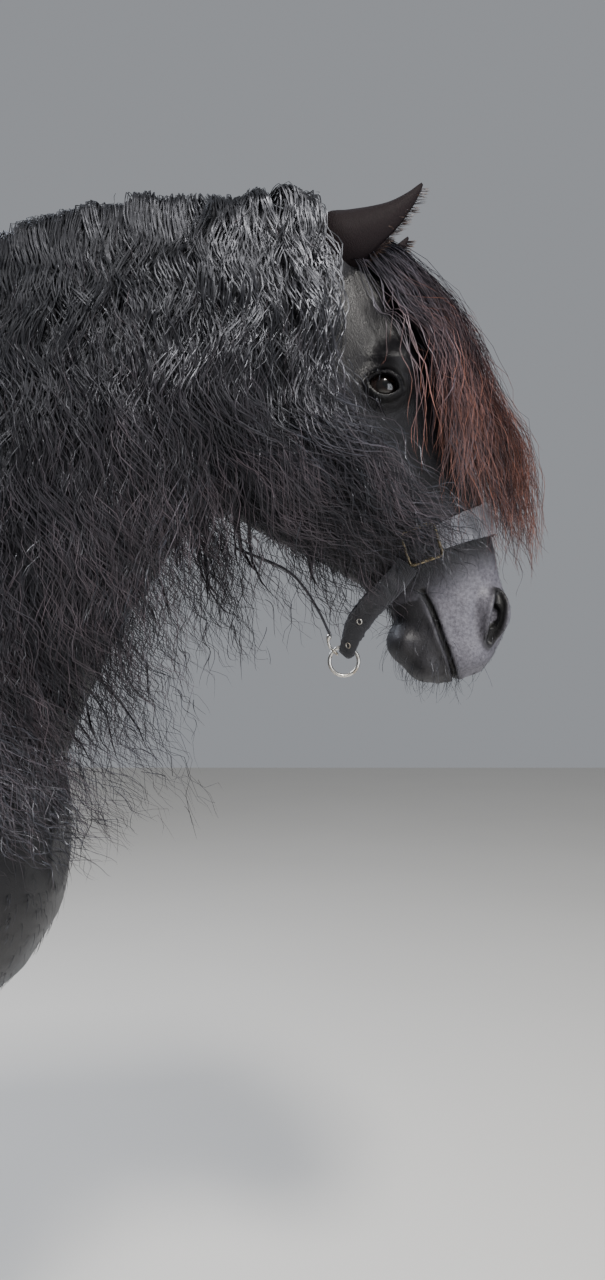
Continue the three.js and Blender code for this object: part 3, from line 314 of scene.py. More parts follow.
TORSO = [
    # x, top, bottom, half width, widest place, roundness above and below
    [770, 1120, 1010, 52, 0.5, 2, 2],
    [757, 1180, 965, 112, 0.5, 2, 2],
    [722, 1245, 908, 162, 0.48, 2, 2],
    [662, 1325, 866, 200, 0.46, 2, 2.1],
    [585, 1410, 846, 226, 0.45, 1.9, 2.1],
    [480, 1505, 836, 242, 0.42, 1.8, 2.1],
    [370, 1572, 828, 256, 0.4, 1.7, 2.1],
    [260, 1600, 822, 278, 0.4, 1.65, 2.1],
    [110, 1566, 818, 312, 0.43, 1.8, 2.1],
    [-80, 1524, 824, 336, 0.46, 2, 2.1],
    [-250, 1515, 848, 338, 0.48, 2.1, 2.1],
    [-400, 1532, 894, 318, 0.5, 2.2, 2],
    [-520, 1552, 950, 290, 0.52, 2.2, 2],
    [-640, 1545, 1000, 270, 0.54, 2.2, 2],
    [-740, 1502, 1040, 236, 0.55, 2.1, 2],
    [-820, 1430, 1090, 172, 0.55, 2, 2],
    [-864, 1345, 1150, 92, 0.5, 2, 2],
]
NECK = [
    [180, 1550, 520, 900, 0, 150, 0.42, 1.7, 2],
    [300, 1596, 660, 985, 0, 168, 0.4, 1.6, 2],
    [420, 1662, 742, 1095, 0, 158, 0.4, 1.55, 2.1],
    [530, 1740, 780, 1190, 0, 142, 0.4, 1.5, 2.2],
    [640, 1808, 815, 1275, 0, 124, 0.4, 1.5, 2.2],
    [750, 1856, 852, 1350, 0, 108, 0.41, 1.5, 2.2],
    [860, 1878, 893, 1412, 0, 97, 0.43, 1.55, 2.2],
    [965, 1876, 928, 1462, 0, 90, 0.46, 1.65, 2.1],
    [1060, 1858, 965, 1500, 0, 85, 0.5, 1.8, 2],
    [1130, 1845, 1015, 1515, 0, 78, 0.5, 1.9, 2],
]
HEAD = [
    # u and v of the top line, u and v of the jaw line, half width, widest place, roundnesses
    [-60, -140, 262, -335, 74, 0.6, 2, 1.8],
    [-22, -96, 282, -322, 78, 0.6, 2, 1.8],
    [15, -50, 303, -308, 82, 0.6, 2.1, 1.8],
    [60, -18, 325, -292, 86, 0.62, 2.2, 1.9],
    [110, -3, 348, -272, 89, 0.64, 2.3, 2],
    [165, 4, 373, -248, 88, 0.66, 2.4, 2],
    [225, 4, 399, -222, 80, 0.66, 2.4, 2],
    [285, 1, 423, -200, 70, 0.62, 2.2, 2],
    [340, -1, 443, -182, 62, 0.58, 2.2, 2],
    [395, -2, 461, -168, 56, 0.54, 2.2, 2.1],
    [440, -3, 479, -157, 53, 0.52, 2.2, 2.1],
    [480, -3, 500, -150, 53, 0.5, 2.2, 2.1],
    [515, -2, 524, -150, 54, 0.5, 2.2, 2.1],
    [545, -8, 548, -155, 53, 0.5, 2.2, 2.2],
    [570, -22, 570, -152, 48, 0.5, 2.2, 2.2],
    [590, -42, 590, -140, 38, 0.5, 2.1, 2.1],
    [603, -62, 603, -122, 24, 0.5, 2, 2],
]
FORELEG = [
    # z, front x, back x, y, half width, roundness at the front and the back
    [1120, 680, 380, 142, 64, 2, 2],
    [1010, 680, 372, 162, 86, 2, 2],
    [930, 656, 408, 163, 82, 2, 2],
    [860, 634, 444, 159, 73, 2, 2],
    [780, 617, 470, 155, 63, 2, 2],
    [690, 604, 492, 152, 53, 2, 2],
    [605, 598, 504, 150, 47, 2, 2],
    [548, 601, 498, 149, 51, 2.2, 2],
    [498, 605, 490, 149, 54, 2.4, 2],
    [450, 598, 500, 148, 49, 2.3, 2],
    [400, 588, 514, 147, 37, 2.1, 2],
    [320, 585, 516, 147, 33, 2, 2],
    [255, 587, 510, 147, 36, 2, 2],
    [208, 595, 497, 147, 44, 2, 2],
    [172, 602, 500, 147, 44, 2, 2],
    [134, 614, 522, 147, 42, 2, 2],
    [104, 627, 532, 147, 48, 2, 2],
    [78, 636, 526, 147, 58, 2, 2.2],
]
HINDLEG = [
    [1200, -380, -850, 140, 108, 2, 2],
    [1090, -352, -842, 150, 112, 2, 2],
    [1010, -358, -822, 153, 106, 2, 2],
    [940, -404, -812, 153, 94, 2, 2],
    [870, -478, -822, 151, 82, 2, 1.9],
    [800, -556, -842, 149, 70, 2, 1.8],
    [730, -640, -868, 147, 58, 2, 1.7],
    [676, -706, -896, 146, 49, 2, 1.7],
    [636, -744, -908, 146, 48, 2.1, 1.8],
    [592, -762, -896, 146, 51, 2.2, 2],
    [548, -770, -876, 146, 49, 2.2, 2],
    [498, -778, -862, 146, 41, 2.1, 2],
    [420, -784, -858, 146, 35, 2, 2],
    [320, -784, -858, 146, 34, 2, 2],
    [255, -780, -864, 146, 38, 2, 2],
    [208, -771, -876, 146, 46, 2, 2],
    [172, -763, -870, 146, 45, 2, 2],
    [134, -750, -846, 146, 42, 2, 2],
    [104, -737, -834, 146, 48, 2, 2],
    [78, -728, -838, 146, 58, 2, 2.2],
]
BODY_MASSES = [
    [[350, 128, 1455], [650, 140, 1130], 105, 92, 60],  # shoulder blade
    [[430, 160, 1190], [480, 168, 960], 118, 84, 50],  # triceps
    [[620, 128, 1140], [680, 132, 1010], 80, 80, 50],  # point of the shoulder
    [[690, 60, 1100], [704, 60, 960], 56, 72, 40],  # breast
    [[-340, 128, 1430], [-700, 140, 1340], 118, 128, 60],  # croup
    [[-590, 150, 1300], [-540, 160, 1020], 168, 118, 60],  # thigh
    [[-770, 105, 1330], [-762, 130, 1040], 84, 92, 50],  # buttock
    [[-440, 158, 1090], [-410, 160, 1000], 66, 62, 40],  # stifle
]
HEAD_MASSES = [
    [[222, -186, 46], [318, -212, 44], 66, 42, 22],  # cheek
    [[196, -50, 70], [250, -56, 74], 26, 34, 20],  # brow over the eye
    [[266, -100, 68], [404, -96, 50], 15, 15, 16],  # ridge of the cheekbone
    [[240, -14, 14], [500, -16, 14], 20, 32, 16],  # nose bone
    [[518, -26, 36], [556, -44, 36], 27, 25, 14],  # nostril
    [[560, -72, 18], [588, -84, 18], 32, 33, 14],  # upper lip
    [[560, -130, 12], [586, -128, 12], 19, 34, 10],  # lower lip
    [[522, -144, 8], [552, -148, 8], 20, 36, 12],  # chin
    [[50, -84, 50], [84, -70, 54], 24, 28, 18],  # root of the ear
]
HEAD_HOLLOWS = [
    [[140, -46, 98], [182, -36, 96], 17, 20, 20],  # above the eye
    [[330, -66, 82], [430, -60, 74], 16, 16, 20],  # below the cheekbone
]
FURROWS = [
    # path in the side view, depth, width and how far from the middle it starts
    [[(960, 1500), (860, 1420), (760, 1300), (700, 1190)], 9, 26, 30],  # groove of the neck
    [[(330, 1500), (400, 1330), (430, 1180), (380, 1030)], 7, 24, 60],  # behind the shoulder
    [[(600, 1330), (560, 1200), (600, 1100)], 6, 24, 60],  # before the upper arm
    [[(-330, 1330), (-380, 1180), (-400, 1060)], 8, 34, 60],  # flank
    [[(-720, 1380), (-690, 1200), (-700, 1060)], 5, 22, 60],  # before the buttock
    [[(-250, 880), (-330, 960), (-370, 1060)], 8, 30, 60],  # fold of the stifle
]
DOCK = [(-800, 0, 1435), (-872, 0, 1408), (-918, 0, 1340), (-934, 0, 1250), (-938, 0, 1150)]
EYE = (237.0, -77.0, 73.0)
NOSTRIL = [(517, -19, 45), (530, -23, 55), (545, -31, 57), (558, -38, 53), (570, -47, 45)]
MOUTH = [
    (484, -113, 62),
    (504, -109, 61),
    (526, -106, 57),
    (548, -104, 51),
    (572, -102, 43),
    (592, -101, 28),
    (601, -101, 0),
]


@dataclass
class Leg:
    """One leg: its end, side, how far its hoof stands before square, and its slices."""

    end: End
    side: Side
    step: float
    slices: Slices = field(init=False)
    table: Array = field(init=False)

    def __post_init__(self) -> None:
        """Builds the slices, set forward more and more towards the ground."""
        self.table = np.array(FORELEG if self.end is End.FORE else HINDLEG, float)
        rows = []
        for z, front, back, y, w, na, nb in self.table:
            shift = self.shift(z)
            rows.append([front + shift, z, back + shift, z, self.side.value * y, w, 0.5, na, nb])
        self.slices = Slices(rows)

    @property
    def word(self) -> str:
        """The leg's name in node names."""
        return f"{self.end.value}leg_{self.side.word}"

    def shift(self, z: float) -> float:
        """How far the leg is set forward at height z."""
        return self.step * min(max((1100 - z) / 1000, 0.0), 1.0)

    def row(self, z: Array) -> Array:
        """The place between slices at height z."""
        heights = self.table[::-1, 0]
        return len(heights) - 1 - np.interp(z, heights, np.arange(len(heights)))


LEGS = [
    Leg(End.FORE, Side.RIGHT, STEP),
    Leg(End.FORE, Side.LEFT, -STEP),
    Leg(End.HIND, Side.RIGHT, -STEP),
    Leg(End.HIND, Side.LEFT, STEP),
]


def tube_distance(p: Array, path: Array, radii: Sequence[float] | None = None) -> Array:
    """Distance of points from a path, or from a tube along it with a radius at each of its points."""
    best = np.full(len(p), 1e4)
    radii = np.zeros(len(path)) if radii is None else radii
    for a, b, ra, rb in zip(path[:-1], path[1:], radii[:-1], radii[1:]):
        ab = b - a
        t = np.clip((p - a) @ ab / (ab @ ab), 0.0, 1.0)
        gap = np.linalg.norm(p - a - t[:, None] * ab, axis=1) - (ra + t * (rb - ra))
        best = np.minimum(best, gap)
    return best


class HorseShape:
    """The signed distance of the whole horse, smooth (body) and with the fine forms of its skin (skin)."""

    fillet_neck = 90.0
    fillet_head = 34.0
    fillet_leg = 46.0
    margin = 150.0
    inset = 2.2

    def __init__(self) -> None:
        """Builds the slices and masses from the tables."""
        self.torso = Slices([[x, top, x, bottom, 0, *rest] for x, top, bottom, *rest in TORSO])
        self.neck = Slices(NECK)
        self.head = Slices([[*self._flat(*row[0:2]), *self._flat(*row[2:4]), 0, *row[4:]] for row in HEAD])
        self.body_masses = self._masses(BODY_MASSES, lambda q: np.array(q, float))
        self.head_masses = self._masses(HEAD_MASSES, lambda q: head_point(*q))
        self.hollows = self._masses(HEAD_HOLLOWS, lambda q: head_point(*q))
        self.dock = curve_through(DOCK, 13)
        self.chin = Mass(head_point(530, -136, 0), head_point(574, -122, 0), 21, 35, 26)
        self.eye = head_point(*EYE)
        self.nostril, self.airway = self._opening(curve_through([head_point(*q) for q in NOSTRIL], 9))
        self.mouth = self.project(curve_through([head_point(*q) for q in MOUTH], 25), self.body)
        self.mouth -= 2.6 * self.gradient(self.body, self.mouth)
        self.mouth[-1, 1] = 0.0

    def _opening(self, path: Array) -> tuple[Array, Array]:
        """The nostril's opening just under the surface, and the way in behind it."""
        on = self.project(path, self.body)
        inward = self.gradient(self.body, on)
        return on - 3.2 * inward, on[2:7] - 14.0 * inward[2:7] - np.array([4.0, 0.0, 0.0])

    @staticmethod
    def _flat(u: float, v: float) -> tuple[float, float]:
        """The x and z of a point of the head."""
        at = head_point(u, v, 0.0)
        return float(at[0]), float(at[2])

    @staticmethod
    def _masses(rows: list, to_body: Callable[[Sequence[float]], Array]) -> list[Mass]:
        """The masses of a table, on both sides."""
        made = []
        for start, end, thick, across, blend in rows:
            for side in Side:
                flip = np.array([1.0, side.value, 1.0])
                made.append(Mass(to_body(start) * flip, to_body(end) * flip, thick, across, blend))
        return made

    @staticmethod
    def _part(p: Array, slices: Slices, margin: float) -> Array:
        """Which points lie near a sliced body."""
        return np.nonzero(((p > slices.low - margin) & (p < slices.high + margin)).all(axis=1))[0]

    @staticmethod
    def _add(f: Array, p: Array, masses: list[Mass], joined: Callable[[Array, Array, float], Array]) -> None:
        """Joins masses to a field, or carves them out of it, in place."""
        for mass in masses:
            near = mass.near(p)
            f[near] = joined(f[near], mass.field(p[near]), mass.blend)

    def trunk(self, p: Array) -> Array:
        """Signed distance of the torso and neck."""
        f = np.full(len(p), 400.0)
        near = self._part(p, self.torso, self.margin)
        f[near] = self.torso.field(p[near])
        self._add(f, p, self.body_masses, join)
        near = self._part(p, self.neck, self.margin)
        f[near] = join(f[near], self.neck.field(p[near]), self.fillet_neck)
        return f

    def body(self, p: Array) -> Array:
        """Signed distance of the whole horse, without its fine forms."""
        f = self.trunk(p)
        near = self._part(p, self.head, self.margin)
        near = near[(p[near, 0] >= 700) & (p[near, 2] >= 1180)]
        q = p[near]
        h = self.head.field(q)
        self._add(h, q, self.head_masses, join)
        self._add(h, q, self.hollows, carve)
        f[near] = join(f[near], h, self.fillet_head)
        low = np.nonzero(p[:, 2] < 1250)[0]
        for leg in LEGS:
            near = low[self._part(p[low], leg.slices, 90.0)]
            f[near] = join(f[near], leg.slices.field(p[near]), self.fillet_leg)
        return f

    def with_dock(self, p: Array) -> Array:
        """The body with the root of the tail."""
        f = self.body(p)
        near = np.nonzero((p[:, 0] < -740) & (p[:, 2] > 1080) & (np.abs(p[:, 1]) < 120))[0]
        radii = np.linspace(32, 14, len(self.dock))
        f[near] = join(f[near], tube_distance(p[near], self.dock, radii), 34.0)
        return f

    def with_hooves(self, p: Array) -> Array:
        """The body with its hooves, which hold the feather off."""
        f = self.body(p)
        for leg in LEGS:
            top = HOOVES[leg.end][0]
            share = np.clip(1 - p[:, 2] / HOOF_HEIGHT, 0.0, 1.0)
            middle = (top[1] + top[2]) / 2 + leg.shift(60.0) + 16 * share
            deep, half = (top[1] - top[2]) / 2 + 30 * share, top[3] + 16 * share
            dx, dy = p[:, 0] - middle, p[:, 1] - leg.side.value * HOOF_OUT
            r = np.hypot(dx / deep, dy / half)
            wall = np.hypot(dx, dy) * (1 - 1 / np.maximum(r, 0.05))
            f = np.minimum(f, np.maximum(wall, p[:, 2] - HOOF_HEIGHT))
        return f

    def gradient(self, shape: Scalar, p: Array, h: float = 1.5) -> Array:
        """The way out of a shape at points, not made unit."""
        ways = np.array([(1, -1, -1), (-1, -1, 1), (-1, 1, -1), (1, 1, 1)], float)
        return sum(way * shape(p + h * way)[:, None] for way in ways) / (4 * h)

    def project(self, p: Array, shape: Scalar, rounds: int = 5, most: float = 30.0) -> Array:
        """Moves points onto the surface of a shape.

        Args:
            p: the points.
            shape: the signed distance of the shape.
            rounds: how often they are moved.
            most: how far one move may take them.

        Returns:
            The points on the surface.
        """
        for _ in range(rounds):
            g = self.gradient(shape, p, 1.0)
            move = shape(p)[:, None] * g / np.maximum((g * g).sum(axis=1), 0.2)[:, None]
            size = np.linalg.norm(move, axis=1, keepdims=True)
            p = p - move * np.minimum(1.0, most / np.maximum(size, 1e-6))
        return p

    # Fine forms of the skin

    def skin(self, p: Array) -> Array:
        """Signed distance of the skin, just inside the coat, with lids, nostrils, lips, folds and tendons."""
        f = self.with_dock(p) + self.inset
        self._body_forms(f, p)
        near = np.nonzero((p[:, 0] > 1010) & (p[:, 2] > 1240))[0]
        f[near] = self._head_forms(f[near], to_left(p[near]))
        return f

    def _head_forms(self, f: Array, q: Array) -> Array:
        """The fine forms of the head, on points with y made positive."""
        u, v = head_axes(q)
        f = self._lids(f, q)
        close = np.nonzero(u > 455)[0]
        f[close] = self._muzzle(f[close], q[close], u[close], v[close])
        vein = v + 104 - 0.05 * (u - 300) - 5 * np.sin(u / 26.0)
        return f - 1.3 * bell(vein, 3.2) * ramp(u, 300, 330) * ramp(-u, -470, -430) * (q[:, 1] > 20)

    def _lids(self, f: Array, q: Array) -> Array:
        """Lids round the eyeball, open in the shape of an almond, with a crease above and below."""
        near = np.nonzero(np.linalg.norm(q - self.eye, axis=1) < 62)[0]
        d, g = q[near] - self.eye, f[near]
        r = np.linalg.norm(d, axis=1)
        slope = math.radians(14)
        a = d[:, 0] * math.cos(slope) - d[:, 2] * math.sin(slope)
        b = d[:, 0] * math.sin(slope) + d[:, 2] * math.cos(slope)
        half, above, below = 18.0, 11.6, 11.4
        c1 = (half**2 - above**2) / (2 * above)
        c2 = (half**2 - below**2) / (2 * below)
        almond = np.maximum(np.hypot(a, b + c1) - (c1 + above), np.hypot(a, b - c2) - (c2 + below))
        outside = ramp(d[:, 1], -6, 6)
        g = join(g, r - 26.6, 13.0)
        upper, lower = ramp(b, -3, 7), ramp(-b, -3, 7)
        fade = outside * bell(np.maximum(r - 33, 0), 7)
        g += (3.4 * bell(almond - 5.6, 1.6) - 2.0 * bell(almond - 2.2, 2.4)) * upper * fade
        g += bell(almond - 9.5, 2.6) * lower * fade
        g -= 5.0 * bell(b - 33, 9.5) * bell(a + 2, 21) * outside
        g += 2.2 * bell(b - 17.5, 4.5) * bell(a - 24, 9) * outside
        pit = np.maximum(np.maximum(almond, 20.5 - r), -(d[:, 1] + 4))
        f[near] = carve(g, pit, 2.4)
        return f

    def _muzzle(self, f: Array, q: Array, u: Array, v: Array) -> Array:
        """The nostril with its rim, the line of the mouth and its lips."""
        radii = 2.6 + 7.4 * np.sin(math.pi * np.linspace(0.08, 0.92, len(self.nostril)))
        slot = tube_distance(q, self.nostril, radii)
        hole = np.minimum(slot, tube_distance(q, self.airway, (6.0, 9.0, 9.5, 9.0, 6.0)))
        fold = bell(u - 534, 21) * bell(v + 54 + 0.3 * (u - 534), 8.5) * (q[:, 1] > 15)
        f = f - 3.0 * bell(slot - 3.4, 3.2) + 6.5 * fold
        f = join(f, self.chin.field(q), self.chin.blend)
        line = tube_distance(q, self.mouth)
        lips = np.where(v > -104, 2.0, 1.6) * bell(line - 7.0, 4.2) * ramp(u, 500, 530)
        wrinkles = 0.24 * np.sin(u / 2.1 + 0.06 * v) * bell(line - 13, 9) * ramp(u, 560, 600)
        f = carve(f - lips + wrinkles, hole, 2.4)
        return carve(f, line - 3.6, 1.6)

    def _body_forms(self, f: Array, p: Array) -> None:
        """Furrows between muscles, the groove of the neck and the tendons, in place."""
        x, y, z = to_left(p).T
        for path, depth, width, beside in FURROWS:
            knots = np.array([(knot_x, 0.0, knot_z) for knot_x, knot_z in path])
            low, high = knots.min(axis=0) - 3 * width, knots.max(axis=0) + 3 * width
            near = np.nonzero((y > beside) & (x > low[0]) & (x < high[0]) & (z > low[2]) & (z < high[2]))[0]
            gap = tube_distance(columns(x[near], 0.0, z[near]), knots)
            f[near] += depth * bell(gap, width)
        for leg in LEGS:
            centre, tendon_x = (550.0, -12.0) if leg.end is End.FORE else (-821.0, -15.0)
            near = np.nonzero((p[:, 1] * leg.side.value > 60) & (z < 500) & (np.abs(x - centre) < 130))[0]
            behind = x[near] - centre - leg.step * 0.8 - tendon_x
            f[near] += 3.4 * bell(behind, 7) * ramp(z[near], 215, 290) * ramp(-z[near], -470, -400)


HOOVES = {
    # z, front, back, half width, from the coronet to the ground
    End.FORE: [(HOOF_HEIGHT, 634, 528, 57), (60, 648, 524, 62), (0, 682, 518, 73)],
    End.HIND: [(HOOF_HEIGHT, -730, -836, 55), (60, -717, -839, 60), (0, -684, -842, 69)],
}


# Finishes


def linear(colour: str) -> tuple[float, float, float, float]:
    """A hex colour as the linear colour that shaders take."""
    parts = [int(colour[i : i + 2], 16) / 255 for i in (1, 3, 5)]
    return (*(c / 12.92 if c <= 0.04045 else ((c + 0.055) / 1.055) ** 2.4 for c in parts), 1.0)


def fill(tree: Tree, socket: Socket, value: object) -> None:
    """Joins an input to an output, or gives it a value, where a text such as #c0c0c0 is a colour."""
    if isinstance(value, Socket):
        tree.links.new(value, socket)
    else:
        socket.default_value = linear(value) if isinstance(value, str) and value[:1] == "#" else value


def add_node(tree: Tree, kind: str, inputs: dict | None = None, **settings: object) -> Node:
    """Adds one node to a tree.

    Args:
        tree: the tree.
        kind: the node's type.
        inputs: values or output sockets, by the name or number of the input.
        settings: the node's own settings.

    Returns:
        The node.
    """
    node = tree.nodes.new(kind)
    for name, value in settings.items():
        setattr(node, name, value)
    for name, value in (inputs or {}).items():
        fill(tree, node.inputs[name], value)
    return node


class Finish:
    """A material being built, with short ways to add its nodes."""

    def __init__(self, name: str) -> None:
        """Starts a material with a Principled shader."""
        self.material = bpy.data.materials.new(name)
        self.material.use_nodes = True
        self.tree = self.material.node_tree
        self.tree.nodes.clear()
        self.shader = self.node("BsdfPrincipled")
        self.node("OutputMaterial", {0: self.shader.outputs[0]})

    def set(self, **values: object) -> None:
        """Sets or joins inputs of the shader, with _ for a space in their names."""
        for name, value in values.items():
            fill(self.tree, self.shader.inputs[name.replace("_", " ")], value)

    def node(self, kind: str, inputs: dict | None = None, **settings: object) -> Node:
        """Adds a shader node."""
        return add_node(self.tree, "ShaderNode" + kind, inputs, **settings)

    def place(self, scale: Point, turn: float = 0.0) -> Socket:
        """Object coordinates, turned about y and scaled."""
        at = self.node("TexCoord").outputs["Object"]
        if turn:
            at = self.node("VectorRotate", {"Vector": at, "Angle": turn}, rotation_type="Y_AXIS").outputs[0]
        return self.scaled(at, scale)

    def scaled(self, at: Socket, scale: Point) -> Socket:
        """A vector with each number times its own scale."""
        return self.node("VectorMath", {0: at, 1: scale}, operation="MULTIPLY").outputs[0]

    def attribute(self, name: str) -> Socket:
        """A vector kept on the mesh."""
        return self.node("Attribute", attribute_name=name).outputs["Vector"]

    def split(self, vector: Socket) -> list[Socket]:
        """The three numbers of a vector."""
        return list(self.node("SeparateXYZ", {0: vector}).outputs)

    def noise(self, at: Socket | Point, scale: float, detail: float = 2.0, rough: float = 0.5) -> Socket:
        """Noise between 0 and 1, on a vector or on scaled object coordinates."""
        at = self.place(at) if isinstance(at, tuple) else at
        made = self.node("TexNoise", {"Vector": at, "Scale": scale, "Detail": detail, "Roughness": rough})
        return made.outputs["Fac"]

    def maths(self, how: str, a: object, b: object = 0.0, clamp: bool = False) -> Socket:
        """One sum on numbers."""
        return self.node("Math", {0: a, 1: b}, operation=how, use_clamp=clamp).outputs[0]

    def plus(self, a: object, b: object, clamp: bool = False) -> Socket:
        """Two numbers added, kept between 0 and 1 where asked."""
        return self.maths("ADD", a, b, clamp)

    def times(self, a: object, b: object) -> Socket:
        """Two numbers multiplied."""
        return self.maths("MULTIPLY", a, b)

    def level(self, value: object, low: float, high: float, start: float = 0.0, end: float = 1.0) -> Socket:
        """Maps a value from low..high onto start..end, kept inside."""
        return self.node("MapRange", {"Value": value, 1: low, 2: high, 3: start, 4: end}).outputs[0]

    def mix(self, share: object, a: object, b: object) -> Socket:
        """A number between two."""
        return self.node("Mix", {0: share, 2: a, 3: b}).outputs[0]

    def blend(self, share: object, a: object, b: object, how: str = "MIX") -> Socket:
        """Mixes two colours."""
        return self.node("Mix", {0: share, 6: a, 7: b}, data_type="RGBA", blend_type=how).outputs[2]

    def colours(self, value: object, stops: Sequence[tuple[float, str]]) -> Socket:
        """A colour from a value by stops."""
        made = self.node("ValToRGB", {0: value})
        bar = made.color_ramp.elements
        while len(bar) < len(stops):
            bar.new(0.5)
        for element, (at, colour) in zip(bar, stops):
            element.position, element.color = at, linear(colour)
        return made.outputs[0]

    def bump(self, height: object, distance: float, strength: float, under: Socket | None = None) -> Socket:
        """Bump from a height, over another bump where one is given."""
        inputs = {"Height": height, "Distance": distance, "Strength": strength}
        return self.node("Bump", inputs if under is None else inputs | {"Normal": under}).outputs[0]


EVEN = (1, 1, 1)


@dataclass(frozen=True)
class CoatFinish:
    """Short glossy black hair, with bare slate-grey skin on the muzzle, lightened partly as painted sheen, thin hair
    round the eyes, and painted shade in the nostrils, the mouth line, the lid margins and the ears.
    """

    dark: str = "#08080a"
    light: str = "#0f0e12"
    brown: str = "#191211"
    # Slate grey of the bare muzzle, made lighter partly as painted sheen of its fine hair.
    muzzle: str = "#6a6870"
    lips: str = "#151416"
    ear: str = "#1c1415"

    def build(self) -> Material:
        """Makes the material: streaks along the lie of the coat, whorls of tone, and grained muzzle skin."""
        m = Finish("Short black coat")
        on_head, on_leg, bare = m.split(m.attribute("parts"))
        wet, shade, ear = m.split(m.attribute("marks"))
        along_body, along_leg = m.noise((70, 900, 900), 1.0, 3.0, 0.6), m.noise((900, 900, 75), 1.0, 3.0, 0.6)
        along_face = m.noise(m.place((1300, 1300, 150), FACE_TILT), 1.0, 3.0, 0.6)
        streak = m.mix(on_head, m.mix(on_leg, along_body, along_leg), along_face)
        patch = m.noise(EVEN, 7.0, 3.0)
        both = m.plus(m.times(streak, 0.75), m.times(patch, 0.3))
        tone = m.colours(both, [(0.3, self.dark), (0.62, self.light), (0.85, self.brown)])
        grain = m.noise(EVEN, 260.0, 3.0, 0.6)
        skin = m.blend(m.level(grain, 0.3, 0.7), self.muzzle, "#46444b")
        skin = m.blend(wet, skin, self.lips)
        tone = m.blend(m.times(ear, m.level(streak, 0.3, 0.7, 0.5, 1.0)), tone, self.ear)
        colour = m.blend(bare, tone, skin)
        # Painted shade: darkened in the nostrils, the line of the mouth, on the lid margins and inside the ears.
        colour = m.blend(shade, colour, "#070607")
        fur = m.bump(streak, 0.0011, 0.7, m.bump(patch, 0.003, 0.25))
        pores = m.node("TexVoronoi", {"Vector": m.place(EVEN), "Scale": 520.0}).outputs["Distance"]
        grained = m.bump(m.plus(pores, m.times(grain, 1.5)), 0.0005, 0.5)
        normal = m.node("Mix", {0: bare, 4: fur, 5: grained}, data_type="VECTOR").outputs[1]
        rough = m.mix(bare, m.level(streak, 0.3, 0.7, 0.28, 0.44), 0.55)
        rough = m.maths("MAXIMUM", rough, m.times(ear, 0.66))
        m.set(Base_Color=colour, Roughness=rough, Normal=normal, Sheen_Weight=0.02, Sheen_Roughness=0.4)
        m.set(Sheen_Tint="#8f95a8", Specular_IOR_Level=m.level(ear, 0.1, 0.9, 0.34, 0.1))
        return m.material


# Colours of hair by share of its length
# The lighter, browner tips are partly the hair's own colour and partly painted light on the hair that falls over the
# cheek.
BLACK_HAIR = ((0.0, "#0b0b0d"), (0.5, "#121214"), (0.78, "#1f1c1f"), (1.0, "#373033"))
# The red tips are the hair's own bleached colour; the grey-mauve middle stops are partly painted highlight of sunlit
# hair.
RED_TIPS = ((0.0, "#19181b"), (0.3, "#38343a"), (0.55, "#463b3e"), (0.8, "#573f3c"), (1.0, "#754b3c"))
SHORT_HAIR = ((0.0, "#0c0c0e"), (0.6, "#141317"), (1.0, "#1f1c1f"))
EAR_HAIR = ((0.0, "#221c1c"), (0.6, "#3a2e2b"), (1.0, "#6d5746"))


@dataclass(frozen=True)
class HairFinish:
    """Long hair: fine fibres along each strand, coloured from root to tip."""

    name: str
    stops: tuple[tuple[float, str], ...]
    rough: float = 0.36
    sheen: float = 0.02
    gloss: float = 0.5
    scatter: float = 0.3

    def build(self) -> Material:
        """Makes the material: painted shade in the depths and lighter on top, with painted highlights on crimped
        waves and painted sheen in soft spots.
        """
        m = Finish(self.name)
        fibre = m.attribute("fibre")
        tone, share = m.split(fibre)[2], m.node("Attribute", attribute_name="share").outputs["Fac"]
        fine = m.noise(m.scaled(fibre, (2.1, 0.02, 61.0)), 1.0, 2.0, 0.6)
        at = m.plus(share, m.times(m.maths("SUBTRACT", tone, 0.5), self.scatter), True)
        base = m.colours(at, self.stops)
        crimps_and_glints = m.noise((26, 26, 62), 1.0, 2.0, 0.6)
        sheen_patches = m.noise(EVEN, 15.0, 2.0)
        # Painted light: lighter on the crimp noise as painted highlight and in broad soft spots as painted sheen,
        # darker for deep strands as painted shade; part of the tone is chance.
        bright = m.times(m.level(tone, 0.0, 1.0, 0.45, 1.5), m.level(crimps_and_glints, 0.36, 0.64, 0.75, 1.25))
        bright = m.times(bright, m.level(sheen_patches, 0.36, 0.62, 0.6, 1.35))
        bright = m.times(bright, m.level(fine, 0.35, 0.65, 0.7, 1.2))
        colour = m.node("HueSaturation", {"Value": bright, "Color": base}).outputs[0]
        rough = m.level(crimps_and_glints, 0.35, 0.65, self.rough + 0.16, self.rough - 0.05)
        normal = m.bump(fine, 0.0004, 0.4, m.bump(crimps_and_glints, 0.004, 0.3))
        m.set(Base_Color=colour, Roughness=rough, Normal=normal)
        m.set(Sheen_Weight=self.sheen, Sheen_Roughness=0.35, Sheen_Tint="#a9aec2")
        m.set(Specular_IOR_Level=self.gloss, Specular_Tint="#e6e9f6")
        return m.material


